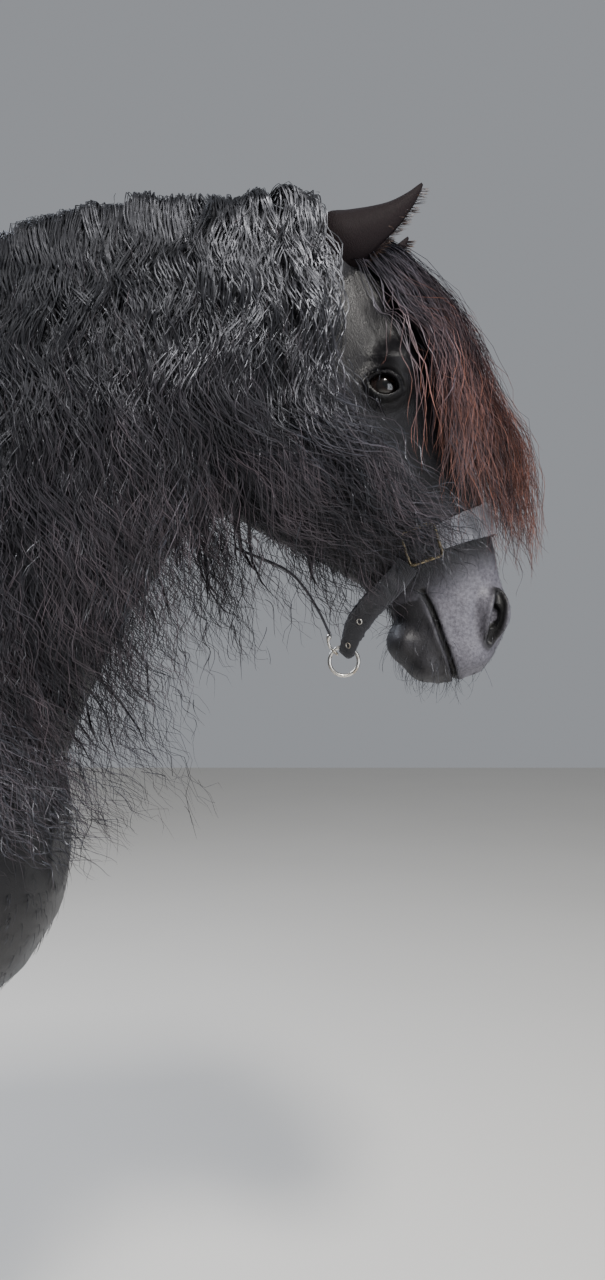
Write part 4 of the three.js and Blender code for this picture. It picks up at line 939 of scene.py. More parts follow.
@dataclass(frozen=True)
class EyeFinish:
    """A wet dark brown eye with a lengthwise pupil."""

    def build(self) -> Material:
        """Makes the material from each eye's own coordinates: along the face, up, and out."""
        m = Finish("Wet dark eye")
        at = m.attribute("iris")
        pupil, iris = (m.node("VectorMath", {0: m.scaled(at, scale)}, operation="LENGTH").outputs["Value"]
                       for scale in ((0.62, 1, 0), (1, 1, 0)))
        rays = m.noise(m.scaled(at, (9, 9, 1)), 1.0, 4.0, 0.7)
        brown = m.colours(m.plus(m.times(iris, 1.1), m.times(rays, 0.5)),
                          [(0.2, "#0b0605"), (0.65, "#140b07"), (0.95, "#0d0807")])
        eye = m.blend(m.level(pupil, 0.27, 0.34), "#020203", brown)
        white = m.blend(m.level(rays, 0.3, 0.7), "#15100f", "#2b2220")
        colour = m.blend(m.level(iris, 0.86, 0.95), eye, white)
        m.set(Base_Color=colour, Roughness=0.2, Coat_Weight=0.7, Coat_Roughness=0.03, Specular_IOR_Level=0.2)
        return m.material


@dataclass(frozen=True)
class HornFinish:
    """Dark hoof horn with growth rings and fine upright fibres."""

    def build(self) -> Material:
        """Makes the material."""
        m = Finish("Dark hoof horn")
        rings = m.noise((3, 3, 150), 1.0, 2.0)
        fibres = m.noise((420, 420, 9), 1.0, 3.0, 0.6)
        both = m.plus(m.times(rings, 0.6), m.times(fibres, 0.4))
        colour = m.colours(both, [(0.3, "#1c1917"), (0.5, "#3a342f"), (0.72, "#5a5048")])
        dust = m.level(m.noise(EVEN, 40.0, 4.0), 0.5, 0.75)
        low = m.level(m.split(m.place(EVEN))[2], 0.0, 0.035, 1.0, 0.0)
        colour = m.blend(m.times(dust, low), colour, "#7d7062")
        normal = m.bump(fibres, 0.0004, 0.5, m.bump(rings, 0.0012, 0.6))
        m.set(Base_Color=colour, Roughness=m.level(both, 0.3, 0.7, 0.35, 0.6), Normal=normal)
        return m.material


@dataclass(frozen=True)
class WebbingFinish:
    """Woven webbing, faded and dusty, with a twill of flat yarns."""

    name: str
    base: str
    worn: str
    fade: float

    def build(self) -> Material:
        """Makes the material from the strap's own coordinates: across and along, in millimetres."""
        m = Finish(self.name)
        across, along, edge = m.split(m.attribute("web"))
        warp = m.maths("SINE", m.times(across, 2 * math.pi / 1.5))
        weft = m.maths("SINE", m.times(m.plus(along, m.times(across, 0.5)), 2 * math.pi / 2.1))
        weave = m.plus(m.times(warp, 0.5), m.times(weft, 0.5))
        fuzz = m.noise(EVEN, 900.0, 2.0)
        patch = m.noise(EVEN, 45.0, 4.0, 0.6)
        wear = m.plus(m.level(patch, 0.35, 0.7, 0.0, self.fade), m.times(edge, 0.35), True)
        colour = m.blend(wear, self.base, self.worn)
        colour = m.blend(m.level(weave, -0.9, 0.1), m.blend(1.0, colour, "#5c5c5c", "MULTIPLY"), colour)
        height = m.plus(weave, m.times(fuzz, 0.6))
        m.set(Base_Color=colour, Roughness=0.82, Normal=m.bump(height, 0.0005, 0.8))
        m.set(Sheen_Weight=0.25, Sheen_Roughness=0.6, Sheen_Tint="#b9bbc4")
        return m.material


@dataclass(frozen=True)
class SteelFinish:
    """Plated steel, scuffed, with the plating dulled to a warmer metal where it rubs."""

    name: str
    bright: str
    worn: str

    def build(self) -> Material:
        """Makes the material."""
        m = Finish(self.name)
        scuffs = m.noise((300, 300, 1400), 1.0, 5.0, 0.65)
        patch = m.noise(EVEN, 90.0, 4.0, 0.6)
        colour = m.blend(m.level(patch, 0.45, 0.65), self.bright, self.worn)
        both = m.plus(m.times(scuffs, 0.5), m.times(patch, 0.5))
        rough = m.level(both, 0.35, 0.65, 0.2, 0.42)
        m.set(Base_Color=colour, Metallic=1.0, Roughness=rough, Normal=m.bump(scuffs, 0.0002, 0.4))
        return m.material


@dataclass(frozen=True)
class ThreadFinish:
    """Waxed sewing thread."""

    colour: str = "#8d8f95"

    def build(self) -> Material:
        """Makes the material, with a fine twist."""
        m = Finish("Sewing thread")
        twist = m.noise((1800, 1800, 1800), 1.0, 2.0)
        colour = m.blend(m.level(twist, 0.3, 0.7), self.colour, "#54565c")
        m.set(Base_Color=colour, Roughness=0.7, Normal=m.bump(twist, 0.0002, 0.6))
        return m.material


@dataclass(frozen=True)
class FloorFinish:
    """A plain pale studio floor."""

    colour: str = "#d9d6d0"

    def build(self) -> Material:
        """Makes the material, with a trace of unevenness."""
        m = Finish("Pale studio floor")
        tone = m.noise(EVEN, 1.2, 3.0)
        m.set(Base_Color=m.blend(m.level(tone, 0.3, 0.7, 0.0, 0.15), self.colour, "#c6c3bd"))
        m.set(Roughness=0.75)
        return m.material


# Meshes


def new_object(name: str, mesh: Mesh, material: Material | None = None) -> Object:
    """Links a mesh as an object at the origin, with its material."""
    made = bpy.data.objects.new(name, mesh)
    bpy.context.scene.collection.objects.link(made)
    if material:
        mesh.materials.append(material)
    return made


def plain_mesh(carrier: Object, name: str) -> Mesh:
    """What an object's modifier makes, as a plain mesh. The object and its modifier are removed."""
    seen = carrier.evaluated_get(bpy.context.evaluated_depsgraph_get())
    mesh = bpy.data.meshes.new_from_object(seen)
    carrier.modifiers.clear()
    bpy.data.objects.remove(carrier)
    mesh.name = name
    return mesh


def millimetres(mesh: Mesh) -> Array:
    """A mesh's vertices in the horse's own axes, in millimetres."""
    at = np.empty(3 * len(mesh.vertices), np.float32)
    mesh.vertices.foreach_get("co", at)
    return at.reshape(-1, 3) * 1000.0 + np.array([CENTRE_X, 0.0, 0.0])


def fast_mesh(name: str, points: Array, faces: Array) -> Mesh:
    """A smooth mesh from points in metres and faces that all have as many corners.

    Args:
        name: the mesh's name.
        points: its vertices.
        faces: the vertices of each face.

    Returns:
        The mesh.
    """
    mesh = bpy.data.meshes.new(name)
    corners = faces.shape[1]
    mesh.vertices.add(len(points))
    mesh.vertices.foreach_set("co", points.astype(np.float32).ravel())
    mesh.loops.add(faces.size)
    mesh.loops.foreach_set("vertex_index", faces.astype(np.int32).ravel())
    mesh.polygons.add(len(faces))
    mesh.polygons.foreach_set("loop_start", np.arange(0, faces.size, corners, dtype=np.int32))
    mesh.polygons.foreach_set("use_smooth", np.ones(len(faces), bool))
    mesh.update(calc_edges=True)
    mesh.validate()
    return mesh


def store(mesh: Mesh, name: str, values: Array) -> None:
    """Keeps a number or vector for each vertex."""
    kind = "FLOAT" if values.ndim == 1 else "FLOAT_VECTOR"
    made = mesh.attributes.new(name, kind, "POINT")
    made.data.foreach_set("value" if values.ndim == 1 else "vector", values.astype(np.float32).ravel())


def outward(points: Array, faces: Array) -> Array:
    """Turns all faces round if the closed shape that they make is inside out."""
    a, b, c = points[faces[:, 0]], points[faces[:, 1]], points[faces[:, 2]]
    volume = np.einsum("ij,ij->i", a, np.cross(b, c)).sum()
    if faces.shape[1] == 4:
        d = points[faces[:, 3]]
        volume += np.einsum("ij,ij->i", a, np.cross(c, d)).sum()
    return faces if volume > 0 else faces[:, ::-1]


def loft(rings: Array, closed_path: bool = False) -> tuple[Array, Array]:
    """A skin over rings of points, each end closed round the middle of its ring.

    Args:
        rings: rings of points, all with as many.
        closed_path: whether the last ring joins the first.

    Returns:
        Points and faces with four corners, where a triangle repeats one of them.
    """
    count, sides = rings.shape[:2]
    points = rings.reshape(-1, 3)
    k = np.arange(sides)
    nxt = (k + 1) % sides
    faces = []
    for i in range(count if closed_path else count - 1):
        this, other = i * sides, (i + 1) % count * sides
        faces.append(columns(this + k, this + nxt, other + nxt, other + k))
    if not closed_path:
        n, last = len(points), (count - 1) * sides
        points = np.vstack([points, rings[0].mean(axis=0), rings[-1].mean(axis=0)])
        faces.append(columns(n, nxt, k, k))
        faces.append(columns(n + 1, last + k, last + nxt, last + nxt))
    return points, outward(points, np.vstack(faces))


def loft_object(name: str, rings: Array, material: Material, closed_path: bool = False) -> Object:
    """An object from rings in millimetres, with any triangle at its ends made a real one."""
    points, faces = loft(rings, closed_path)
    mesh = bpy.data.meshes.new(name)
    tidy = [list(dict.fromkeys(face)) for face in faces.tolist()]
    mesh.from_pydata(metres(points).tolist(), [], tidy)
    mesh.polygons.foreach_set("use_smooth", np.ones(len(tidy), bool))
    mesh.update()
    return new_object(name, mesh, material)


def sweep(path: Array, radius: Array | float, sides: int, closed_path: bool = False) -> Array:
    """Rings of a round bar along a path, carried along it without twist."""
    ahead = np.roll(path, -1, axis=0) - np.roll(path, 1, axis=0)
    if not closed_path:
        ahead[0], ahead[-1] = path[1] - path[0], path[-1] - path[-2]
    ahead = unit(ahead)
    out = np.array([0.02, 1.0, 0.03])
    if abs(ahead[0] @ out) > 0.9:
        out = np.array([1.0, 0.02, 0.03])
    angle = 2 * math.pi * np.arange(sides) / sides
    radius = np.broadcast_to(radius, len(path))
    rings = []
    for at, along, r in zip(path, ahead, radius):
        out = unit(out - along * (out @ along))
        up = np.cross(out, along)
        rings.append(at + r * (np.cos(angle)[:, None] * out + np.sin(angle)[:, None] * up))
    return np.array(rings)


# Skin


CORNERS = [(i, j, k) for i in (0, 1) for j in (0, 1) for k in (0, 1)]


@dataclass
class Skin:
    """The skin of the whole horse, drawn on a grid that is finest at the eyes and muzzle."""

    shape: HorseShape
    x_steps: tuple = ((-985, -940, 9), (-940, -690, 9), (-690, 430, 17), (430, 700, 9), (700, 1060, 11),
                      (1060, 1144, 5), (1144, 1210, 2.2), (1210, 1226, 4), (1226, 1352, 2.8))
    z_steps: tuple = ((66, 1262, 12), (1262, 1404, 2.8), (1404, 1604, 5.5), (1604, 1664, 2.2),
                      (1664, 1896, 5.5))
    y_steps: tuple = ((0, 60, 3), (60, 108, 2.6), (108, 360, 13))
    stride: int = 4
    batch: int = 150000
    most: int = 186000

    def _thin(self, mesh: Mesh, loose: Array) -> Mesh:
        """Takes out edges where the skin is plain, so that the whole keeps under its number of triangles."""
        carrier = new_object("thinning", mesh)
        group = carrier.vertex_groups.new(name="loose")
        group.add(np.nonzero(loose)[0].tolist(), 1.0, "REPLACE")
        modifier = carrier.modifiers.new("thinning", "DECIMATE")
        modifier.ratio = min(1.0, self.most / (2 * len(mesh.polygons)))
        modifier.vertex_group = group.name
        return plain_mesh(carrier, "skin")

    @staticmethod
    def _axis(steps: tuple) -> Array:
        """Grid lines from spans of even steps."""
        parts = [np.linspace(a, b, max(int(round((b - a) / s)), 1), endpoint=False) for a, b, s in steps]
        return np.concatenate([*parts, [steps[-1][1]]])

    def axes(self) -> tuple[Array, Array, Array]:
        """The grid's lines."""
        y = self._axis(self.y_steps)
        return self._axis(self.x_steps), np.concatenate([-y[:0:-1], y]), self._axis(self.z_steps)

    def _sample(self, axes: tuple[Array, Array, Array]) -> Array:
        """The skin's distance at the grid's points, exact only where a block may hold the surface."""
        sizes = [len(a) for a in axes]
        edges = [np.unique(np.append(np.arange(0, n - 1, self.stride), n - 1)) for n in sizes]
        middles = [(a[e[:-1]] + a[e[1:]]) / 2 for a, e in zip(axes, edges)]
        halves = [(a[e[1:]] - a[e[:-1]]) / 2 for a, e in zip(axes, edges)]
        grid = np.stack(np.meshgrid(*middles, indexing="ij"), axis=-1)
        radius = np.sqrt(sum(h**2 for h in np.meshgrid(*halves, indexing="ij")))
        rough = self.shape.with_dock(grid.reshape(-1, 3)).reshape(radius.shape)
        near = np.abs(rough) < 1.9 * radius + 14
        for axis, count in enumerate(np.diff(e) for e in edges):
            rough, near = np.repeat(rough, count, axis=axis), np.repeat(near, count, axis=axis)
        values = np.pad(rough, ((0, 1),) * 3, mode="edge")
        wanted = np.zeros(sizes, bool)
        for corner in CORNERS:
            wanted[tuple(slice(c, c + n) for c, n in zip(corner, near.shape))] |= near
        index = np.nonzero(wanted)
        points = columns(*(a[i] for a, i in zip(axes, index)))
        batches = np.array_split(points, max(len(points) // self.batch, 1))
        values[index] = np.concatenate([self.shape.skin(batch) for batch in batches])
        LOG.info("skin grid %s, %d points measured", sizes, len(points))
        return values

    def surface(self) -> tuple[Array, Array]:
        """Points on the skin, in millimetres, and its four-cornered faces."""
        axes = self.axes()
        values = self._sample(axes)
        inside = values < 0
        count = sum(inside[tuple(slice(c, c + n - 1) for c, n in zip(corner, values.shape))].astype(np.int8)
                    for corner in CORNERS)
        active = (count > 0) & (count < 8)
        cell = np.nonzero(active)
        number = np.full(active.shape, -1)
        number[cell] = np.arange(len(cell[0]))
        total, hits = np.zeros((len(cell[0]), 3)), np.zeros(len(cell[0]))
        for corner in CORNERS:
            for axis in (n for n in range(3) if not corner[n]):
                a = tuple(c + i for c, i in zip(cell, corner))
                b = tuple(i + (n == axis) for n, i in enumerate(a))
                fa, fb = values[a], values[b]
                cross = (fa < 0) != (fb < 0)
                t = fa / np.where(fa == fb, 1.0, fa - fb)
                pa, pb = (columns(*(line[i] for line, i in zip(axes, end))) for end in (a, b))
                total += np.where(cross[:, None], pa + t[:, None] * (pb - pa), 0.0)
                hits += cross
        points = total / hits[:, None]
        faces = []
        for axis in range(3):
            one, two = [n for n in range(3) if n != axis]
            head = [slice(1, -1)] * 3
            head[axis] = slice(0, -1)
            tail = list(head)
            tail[axis] = slice(1, None)
            start, end = inside[tuple(head)], inside[tuple(tail)]
            at = np.nonzero(start != end)
            base = [at[n] + (n != axis) for n in range(3)]

            def around(p: int, q: int) -> Array:
                """The number of the cell at one side of each crossed edge."""
                place = [b.copy() for b in base]
                place[one] -= p
                place[two] -= q
                return number[tuple(place)]

            quad = np.stack([around(1, 1), around(0, 1), around(0, 0), around(1, 0)], axis=1)
            turned = start[at] == (axis == 1)
            quad[turned] = quad[turned][:, ::-1]
            faces.append(quad)
        faces = np.vstack(faces)
        points = self.shape.project(points, self.shape.skin, 3, 3.0)
        return points, outward(points, faces)

    def build(self, finish: Material) -> Object:
        """Makes the skin with the marks that its finish reads."""
        points, faces = self.surface()
        fine = (points[:, 0] > 1050) & (points[:, 2] > 1250)
        mesh = self._thin(fast_mesh("thinning", metres(points), faces), ~fine)
        points = self.shape.project(millimetres(mesh), self.shape.skin, 2, 2.0)
        mesh.vertices.foreach_set("co", metres(points).astype(np.float32).ravel())
        LOG.info("skin thinned from %d faces to %d", len(faces), len(mesh.polygons))
        self._mark(mesh, points)
        return new_object("skin", mesh, finish)

    def _mark(self, mesh: Mesh, points: Array) -> None:
        """Marks head, legs and bare muzzle, and then the wet, the shaded and the brown places."""
        u, v = head_axes(points)
        x, y, z = to_left(points).T
        on_head = ramp(v, -345, -300) * ramp(x, 1000, 1080) * ramp(z, 1240, 1290)
        on_neck = ramp(x, 420, 620) * (z > 1150) * (1 - on_head)
        upright = np.maximum(ramp(-z, -1060, -900), on_neck)
        store(mesh, "parts", columns(on_head, upright, ramp(u + 0.10 * v, 448, 500) * (x > 1150) * 0.92))
        q = to_left(points)
        hole = tube_distance(q, self.shape.nostril, np.full(len(self.shape.nostril), 7.0))
        line = tube_distance(q, self.shape.mouth)
        eye = np.linalg.norm(q - self.shape.eye, axis=1)
        wet = np.maximum(bell(np.maximum(line, 0), 7), bell(np.maximum(hole, 0), 5))
        wet = np.maximum(wet, ramp(-v - 0.1 * (570 - u), 96, 110) * (u > 490) * 0.9)
        # Painted shade where the skin sinks deep into the nostrils and the line of the mouth.
        deep = np.where((u > 470) & (x > 1150), -self.shape.body(points), 0.0)
        shade = ramp(deep, 2.9, 5.4) * (np.minimum(line, hole) < 9)
        # Painted shade on the lid margins round the eye, which are also dark skin.
        shade = np.maximum(shade, 0.85 * ramp(-eye, -31.0, -26.0) * ramp(y, 60, 72))
        store(mesh, "marks", columns(wet, shade, 0.08 * on_head))


# Hair


@dataclass
class HairLie:
    """Guides that hair follows: points and ways out of the skin along each, and their lengths."""

    track: Array
    out: Array
    length: Array
    lock: Array
    depth: Array

    def bunch(self, pull: float) -> None:
        """Draws the guides towards the middle of their lock, more and more to the tips."""
        count = self.lock.max() + 1
        total = np.zeros((count, *self.track.shape[1:]))
        np.add.at(total, self.lock, self.track)
        middle = total / np.maximum(np.bincount(self.lock, minlength=count), 1)[:, None, None]
        share = np.linspace(0, 1, self.track.shape[1])[None, :, None]
        self.track += (middle[self.lock] - self.track) * pull * ramp(share, 0.0, 0.9)

    def at(self, guide: Array, share: Array) -> tuple[Array, Array]:
        """Points and ways out at shares of the guides.

        Args:
            guide: the guide of each strand.
            share: rows of shares along it, one row for each strand.

        Returns:
            Points and unit ways out, for each strand and share.
        """
        steps = self.track.shape[1] - 1
        place = np.clip(share, 0.0, 1.0) * steps
        i = np.minimum(place.astype(int), steps - 1)
        w = (place - i)[..., None]
        g = guide[:, None]
        points = self.track[g, i] * (1 - w) + self.track[g, i + 1] * w
        out = unit(self.out[g, i] * (1 - w) + self.out[g, i + 1] * w)
        return points, out


def trace(
    shape: HorseShape,
    solid: Scalar,
    root: Array,
    start: Array,
    flow: Callable[[Array, float], Array],
    length: Array,
    rest: Callable[[float], Array],
    steps: int = GUIDE_STEPS,
    lock: Array | None = None,
    depth: Array | None = None,
    ways: Point = (1.0, 1.0, 1.0),
) -> HairLie:
    """Guides of hair that leave the root, bend into the flow and are held off the skin.

    Args:
        shape: the horse's shape.
        solid: what the hair lies on.
        root: where each guide starts.
        start: the way that it leaves.
        flow: the way it wants to go at points and at a share of its length.
        length: the length of each.
        rest: the height off the skin at a share of the length.
        steps: how many steps each has.
        lock: the lock that each belongs to.
        depth: how near the top of the hair each lies, from 0 to 1.
        ways: how far the skin turns the hair in x, y and z.

    Returns:
        The guides.
    """
    p, way = root.copy(), unit(start.copy())
    step = (length / steps)[:, None]
    track, outs = [p.copy()], [unit(shape.gradient(solid, p) * ways)]
    for i in range(steps):
        way = unit(0.7 * way + 0.3 * flow(p, i / steps))
        p = p + way * step
        held = rest((i + 1) / steps) * min(max((i + 1) / 5, 0.1), 1.0)
        f = solid(p)
        out = unit(shape.gradient(solid, p) * ways)
        sink = np.where(f < 110, -np.minimum(f - held, 0.22 * step[:, 0]), 0.0)
        lift = np.where(f < held, np.minimum(held - f, 9.0), sink)
        p = p + out * lift[:, None]
        outs.append(unit(out + 1.6 * outs[-1]))
        track.append(p.copy())
    n = len(root)
    lock = np.arange(n) if lock is None else lock
    depth = np.full(n, 0.5) if depth is None else depth
    return HairLie(np.stack(track, axis=1), np.stack(outs, axis=1), length, lock, depth)


class Unwrap:
    """An unwrap of the skin's own shape: a tile for each part, by how far along it and how far round it."""

    @staticmethod
    def turn(across: Array, ahead: Array) -> Array:
        """How far round an axis points lie, from 0 to 1."""
        return np.arctan2(across, ahead) / (2 * math.pi) + 0.5

    @classmethod
    def place(cls, p: Array) -> Array:
        """The place on the unwrap of points on the skin."""
        x, y, z = p.T
        u, v = head_axes(p)
        uv = columns(0.02 + 0.6 * (x + 1000) / 2000, 0.02 + 0.44 * cls.turn(y, z - 1180.0))
        head = (x > 1000) & (z > 1240)
        uv[head] = columns(0.66 + 0.3 * np.clip(u / 620, 0, 1), 0.02 + 0.44 * cls.turn(y, v + 100.0))[head]
        for n, leg in enumerate(LEGS):
            fore = leg.end is End.FORE
            low = (z < 800) & (y * leg.side.value > 0) & ((x > 0) == fore)
            turn = cls.turn(y - leg.side.value * 148, x - (550.0 if fore else -810.0))
            uv[low] = columns(0.02 + 0.24 * n + 0.2 * np.clip(z / 800, 0, 1), 0.5 + 0.2 * turn)[low]
        tail = (x < -850) & (z > 1100)
        turn = cls.turn(y, x + 925)
        uv[tail] = columns(0.02 + 0.3 * np.clip((z - 1100) / 400, 0, 1), 0.74 + 0.2 * turn)[tail]
        return uv


@dataclass
class Strands:
    """Closed tapered strands, as arrays: points, ways out, widths and tones."""

    paths: Array
    outs: Array
    width: Array
    thick: Array
    tone: Array
    root: Array

    faces = ((-0.5, 0.35), (0.5, 0.35), (0.0, -0.65))

    def triangles(self) -> int:
        """How many triangles one strand has."""
        return 6 * (self.paths.shape[1] - 2) + 4

    def build(self, name: str, material: Material) -> Object:
        """Makes one object of all strands, with their fibre coordinates and the OFBake map."""
        count, rings = self.paths.shape[:2]
        along = unit(np.gradient(self.paths, axis=1))
        across = unit(np.cross(along, self.outs))
        out = np.cross(across, along)
        body = rings - 1
        ring = np.stack(
            [
                self.paths[:, :body] + a * self.width[:, :body, None] * across[:, :body]
                + b * self.thick[:, :body, None] * out[:, :body]
                for a, b in self.faces
            ],
            axis=2,
        )
        size = body * 3 + 1
        points = np.concatenate([ring.reshape(count, -1, 3), self.paths[:, -1:]], axis=1)
        sides = [(i * 3 + k, i * 3 + (k + 1) % 3) for i in range(body) for k in range(3)]
        quads = np.array([[a, b, b + 3, a + 3] for a, b in sides[:-3]])
        ends = np.array([[0, 2, 1], *([a, b, size - 1] for a, b in sides[-3:])])
        mesh = self._mesh(name, points, quads, ends)
        spans = np.linalg.norm(np.diff(self.paths, axis=1), axis=2)
        length = np.pad(np.cumsum(spans, axis=1), ((0, 0), (1, 0)))
        side = np.array([f[0] for f in self.faces])
        fibre = np.zeros((count, size, 3))
        fibre[:, :-1, 0] = (side * self.width[:, :body, None]).reshape(count, -1)
        fibre[:, :-1, 1] = np.repeat(length[:, :body], 3, axis=1)
        fibre[:, -1, 1] = length[:, -1]
        fibre[..., 2] = self.tone[:, None]
        share = np.ones((count, size))
        share[:, :-1] = np.repeat(np.arange(body) / (rings - 1), 3)
        store(mesh, "fibre", fibre.reshape(-1, 3))
        store(mesh, "share", share.ravel())
        patch = np.zeros((count, size, 2))
        patch[..., 0] = 0.003 * np.append(np.tile(side + 0.5, body), 0.5)
        patch[..., 1] = 0.003 * share
        uv = (Unwrap.place(self.root)[:, None] + patch).reshape(-1, 2)
        corner = np.empty(len(mesh.loops), np.int32)
        mesh.loops.foreach_get("vertex_index", corner)
        layer = mesh.uv_layers.new(name="OFBake")
        layer.data.foreach_set("uv", uv[corner].astype(np.float32).ravel())
        return new_object(name, mesh, material)

    @staticmethod
    def _mesh(name: str, points: Array, quads: Array, ends: Array) -> Mesh:
        """Builds the mesh from the faces of one strand, turned outward and repeated."""
        count, size = points.shape[:2]
        one = points[0]
        tri = np.vstack([ends, quads[:, [0, 1, 2]], quads[:, [0, 2, 3]]])
        a, b, c = (one[tri[:, k]] - one[0] for k in range(3))
        if np.einsum("ij,ij->i", a, np.cross(b, c)).sum() < 0:
            quads, ends = quads[:, ::-1], ends[:, ::-1]
        shift = (np.arange(count) * size)[:, None, None]
        four, three = (quads + shift).reshape(-1, 4), (ends + shift).reshape(-1, 3)
        mesh = bpy.data.meshes.new(name)
        mesh.vertices.add(count * size)
        mesh.vertices.foreach_set("co", metres(points).astype(np.float32).ravel())
        loops = np.concatenate([four.ravel(), three.ravel()]).astype(np.int32)
        mesh.loops.add(len(loops))
        mesh.loops.foreach_set("vertex_index", loops)
        starts = np.append(np.arange(len(four)) * 4, four.size + np.arange(len(three)) * 3).astype(np.int32)
        mesh.polygons.add(len(starts))
        mesh.polygons.foreach_set("loop_start", starts)
        mesh.polygons.foreach_set("use_smooth", np.ones(len(starts), bool))
        mesh.update(calc_edges=True)
        pairs = np.empty(2 * len(mesh.edges), np.int32)
        mesh.edges.foreach_get("vertices", pairs)
        lengthwise = np.abs(pairs[0::2] - pairs[1::2]) == 3
        mesh.attributes.new("sharp_edge", "BOOLEAN", "EDGE").data.foreach_set("value", lengthwise)
        return mesh

    def split(self) -> list["Strands"]:
        """Parts that each stay under the number of triangles for one piece."""
        parts = math.ceil(len(self.paths) * self.triangles() / PIECE_TRIANGLES)
        return [Strands(*(getattr(self, part.name)[rows] for part in fields(self)))
                for rows in np.array_split(np.arange(len(self.paths)), parts)]


@dataclass
class Wave:
    """Waves of hair: how wide and long they are, and how alike neighbours are."""

    across: float
    out: float
    length: float
    stray: float = 0.5


@dataclass
class Growth:
    """How strands grow about guides."""

    rings: int
    width: float
    spread: float
    lift: float
    waves: tuple[Wave, ...]
    flat: float = 0.42
    frizz: float = 6.0
    keep: float = 5.0
    # A factor on the strands' tone: a low one draws them darker, as painted shade.
    tone: float = 1.0


def taper(share: Array) -> Array:
    """Swells from the root, is full over most of the length and ends fine."""
    return (0.6 + 0.4 * np.minimum(1, 6 * share)) * np.maximum(1 - share, 0) ** 0.5 + 0.05


def grow(
    lie: HairLie, guide: Array, start: Array, reach: Array, how: Growth, solid: Scalar, draw: Draw
) -> Strands:
    """Grows strands about guides.

    Args:
        lie: the guides.
        guide: the guide of each strand.
        start: the share of the guide where each starts.
        reach: the share of the guide that each covers.
        how: sizes.
        solid: what they lie on.
        draw: the source of chance.

    Returns:
        The strands.
    """
    n = len(guide)
    own = np.linspace(0, 1, how.rings)[None]
    reach = np.minimum(reach, 0.998 - start)
    share = start[:, None] + reach[:, None] * own
    points, out = lie.at(guide, share)
    along = unit(np.gradient(points, axis=1))
    across = unit(np.cross(along, out))
    run = share * lie.length[guide][:, None]
    a = draw.normal(0, 1, n)[:, None] * how.spread
    b = draw.uniform(-0.4, 1.0, n)[:, None] * how.lift
    bunch = 1.0 - 0.35 * np.sin(math.pi * np.clip(share, 0, 1))
    side, up = a * bunch * np.minimum(1, 0.3 + 5 * share), b * bunch * np.minimum(1, 6 * share)
    alike = np.random.default_rng(17).uniform(0, 2 * math.pi, (lie.lock.max() + 1, len(how.waves), 2))
    for k, wave in enumerate(how.waves):
        turn = 2 * math.pi * run / (wave.length * (1 + 0.09 * draw.normal(0, 1, n)[:, None] * wave.stray))
        one = alike[lie.lock[guide], k, 0][:, None] + draw.normal(0, wave.stray, n)[:, None]
        two = alike[lie.lock[guide], k, 1][:, None] + draw.normal(0, wave.stray, n)[:, None]
        full = np.minimum(1, 4 * share) * (0.75 + 0.5 * share)
        side = side + wave.across * full * np.sin(turn + one)
        up = up + wave.out * full * np.sin(1.13 * turn + two)
    loose = own**2 * how.frizz
    side = side + loose * draw.normal(0, 1, n)[:, None]
    up = up + loose * draw.uniform(-0.3, 1.0, n)[:, None]
    points = points + across * side[..., None] + out * up[..., None]
    f = solid(points.reshape(-1, 3)).reshape(points.shape[:2])
    least = how.keep * np.minimum(1, 8 * own + (start[:, None] > 0.02))
    points = points + out * np.clip(least - f, 0, 14)[..., None]
    wide = how.width * draw.uniform(0.6, 1.3, n)[:, None] * taper(own)
    # Painted shade: strands that lie deeper in the hair get a lower tone and are drawn darker; the rest of the tone
    # is chance.
    tone = (0.55 * lie.depth[guide] + 0.45 * draw.uniform(0, 1, n)) * how.tone
    return Strands(points, out, wide, np.maximum(how.flat * wide, 0.3), tone, points[:, 0])


def grow_whole(
    lie: HairLie, count: int, reach: tuple[float, float], how: Growth, solid: Scalar, draw: Draw,
    among: Array | None = None,
) -> Strands:
    """Grows strands that start at the roots of guides drawn by chance.

    Args:
        lie: the guides.
        count: how many strands there are.
        reach: the least and most share of its guide that one covers.
        how: sizes.
        solid: what they lie on.
        draw: the source of chance.
        among: the guides that may be drawn, where not all.

    Returns:
        The strands.
    """
    among = np.arange(len(lie.length)) if among is None else among
    guide = np.sort(among[draw.integers(0, len(among), count)])
    return grow(lie, guide, np.zeros(count), draw.uniform(*reach, count), how, solid, draw)


# How steeply the mane falls, in degrees by height, and how long it is, in millimetres by place on the neck
FALL = ((1000, 30), (1090, 38), (1200, 56), (1320, 71), (1450, 78), (1600, 83), (1860, 89))
FALL_AT_POLL = ((1300, 62), (1440, 57), (1500, 50), (1560, 46), (1600, 54), (1650, 83), (1720, 92),
                (1780, 86), (1860, 83))
MANE_LENGTH = ((1, 600), (2.5, 800), (4, 900), (5, 860), (5.7, 700), (6.4, 690), (7, 700), (7.6, 650),
               (8.6, 570))


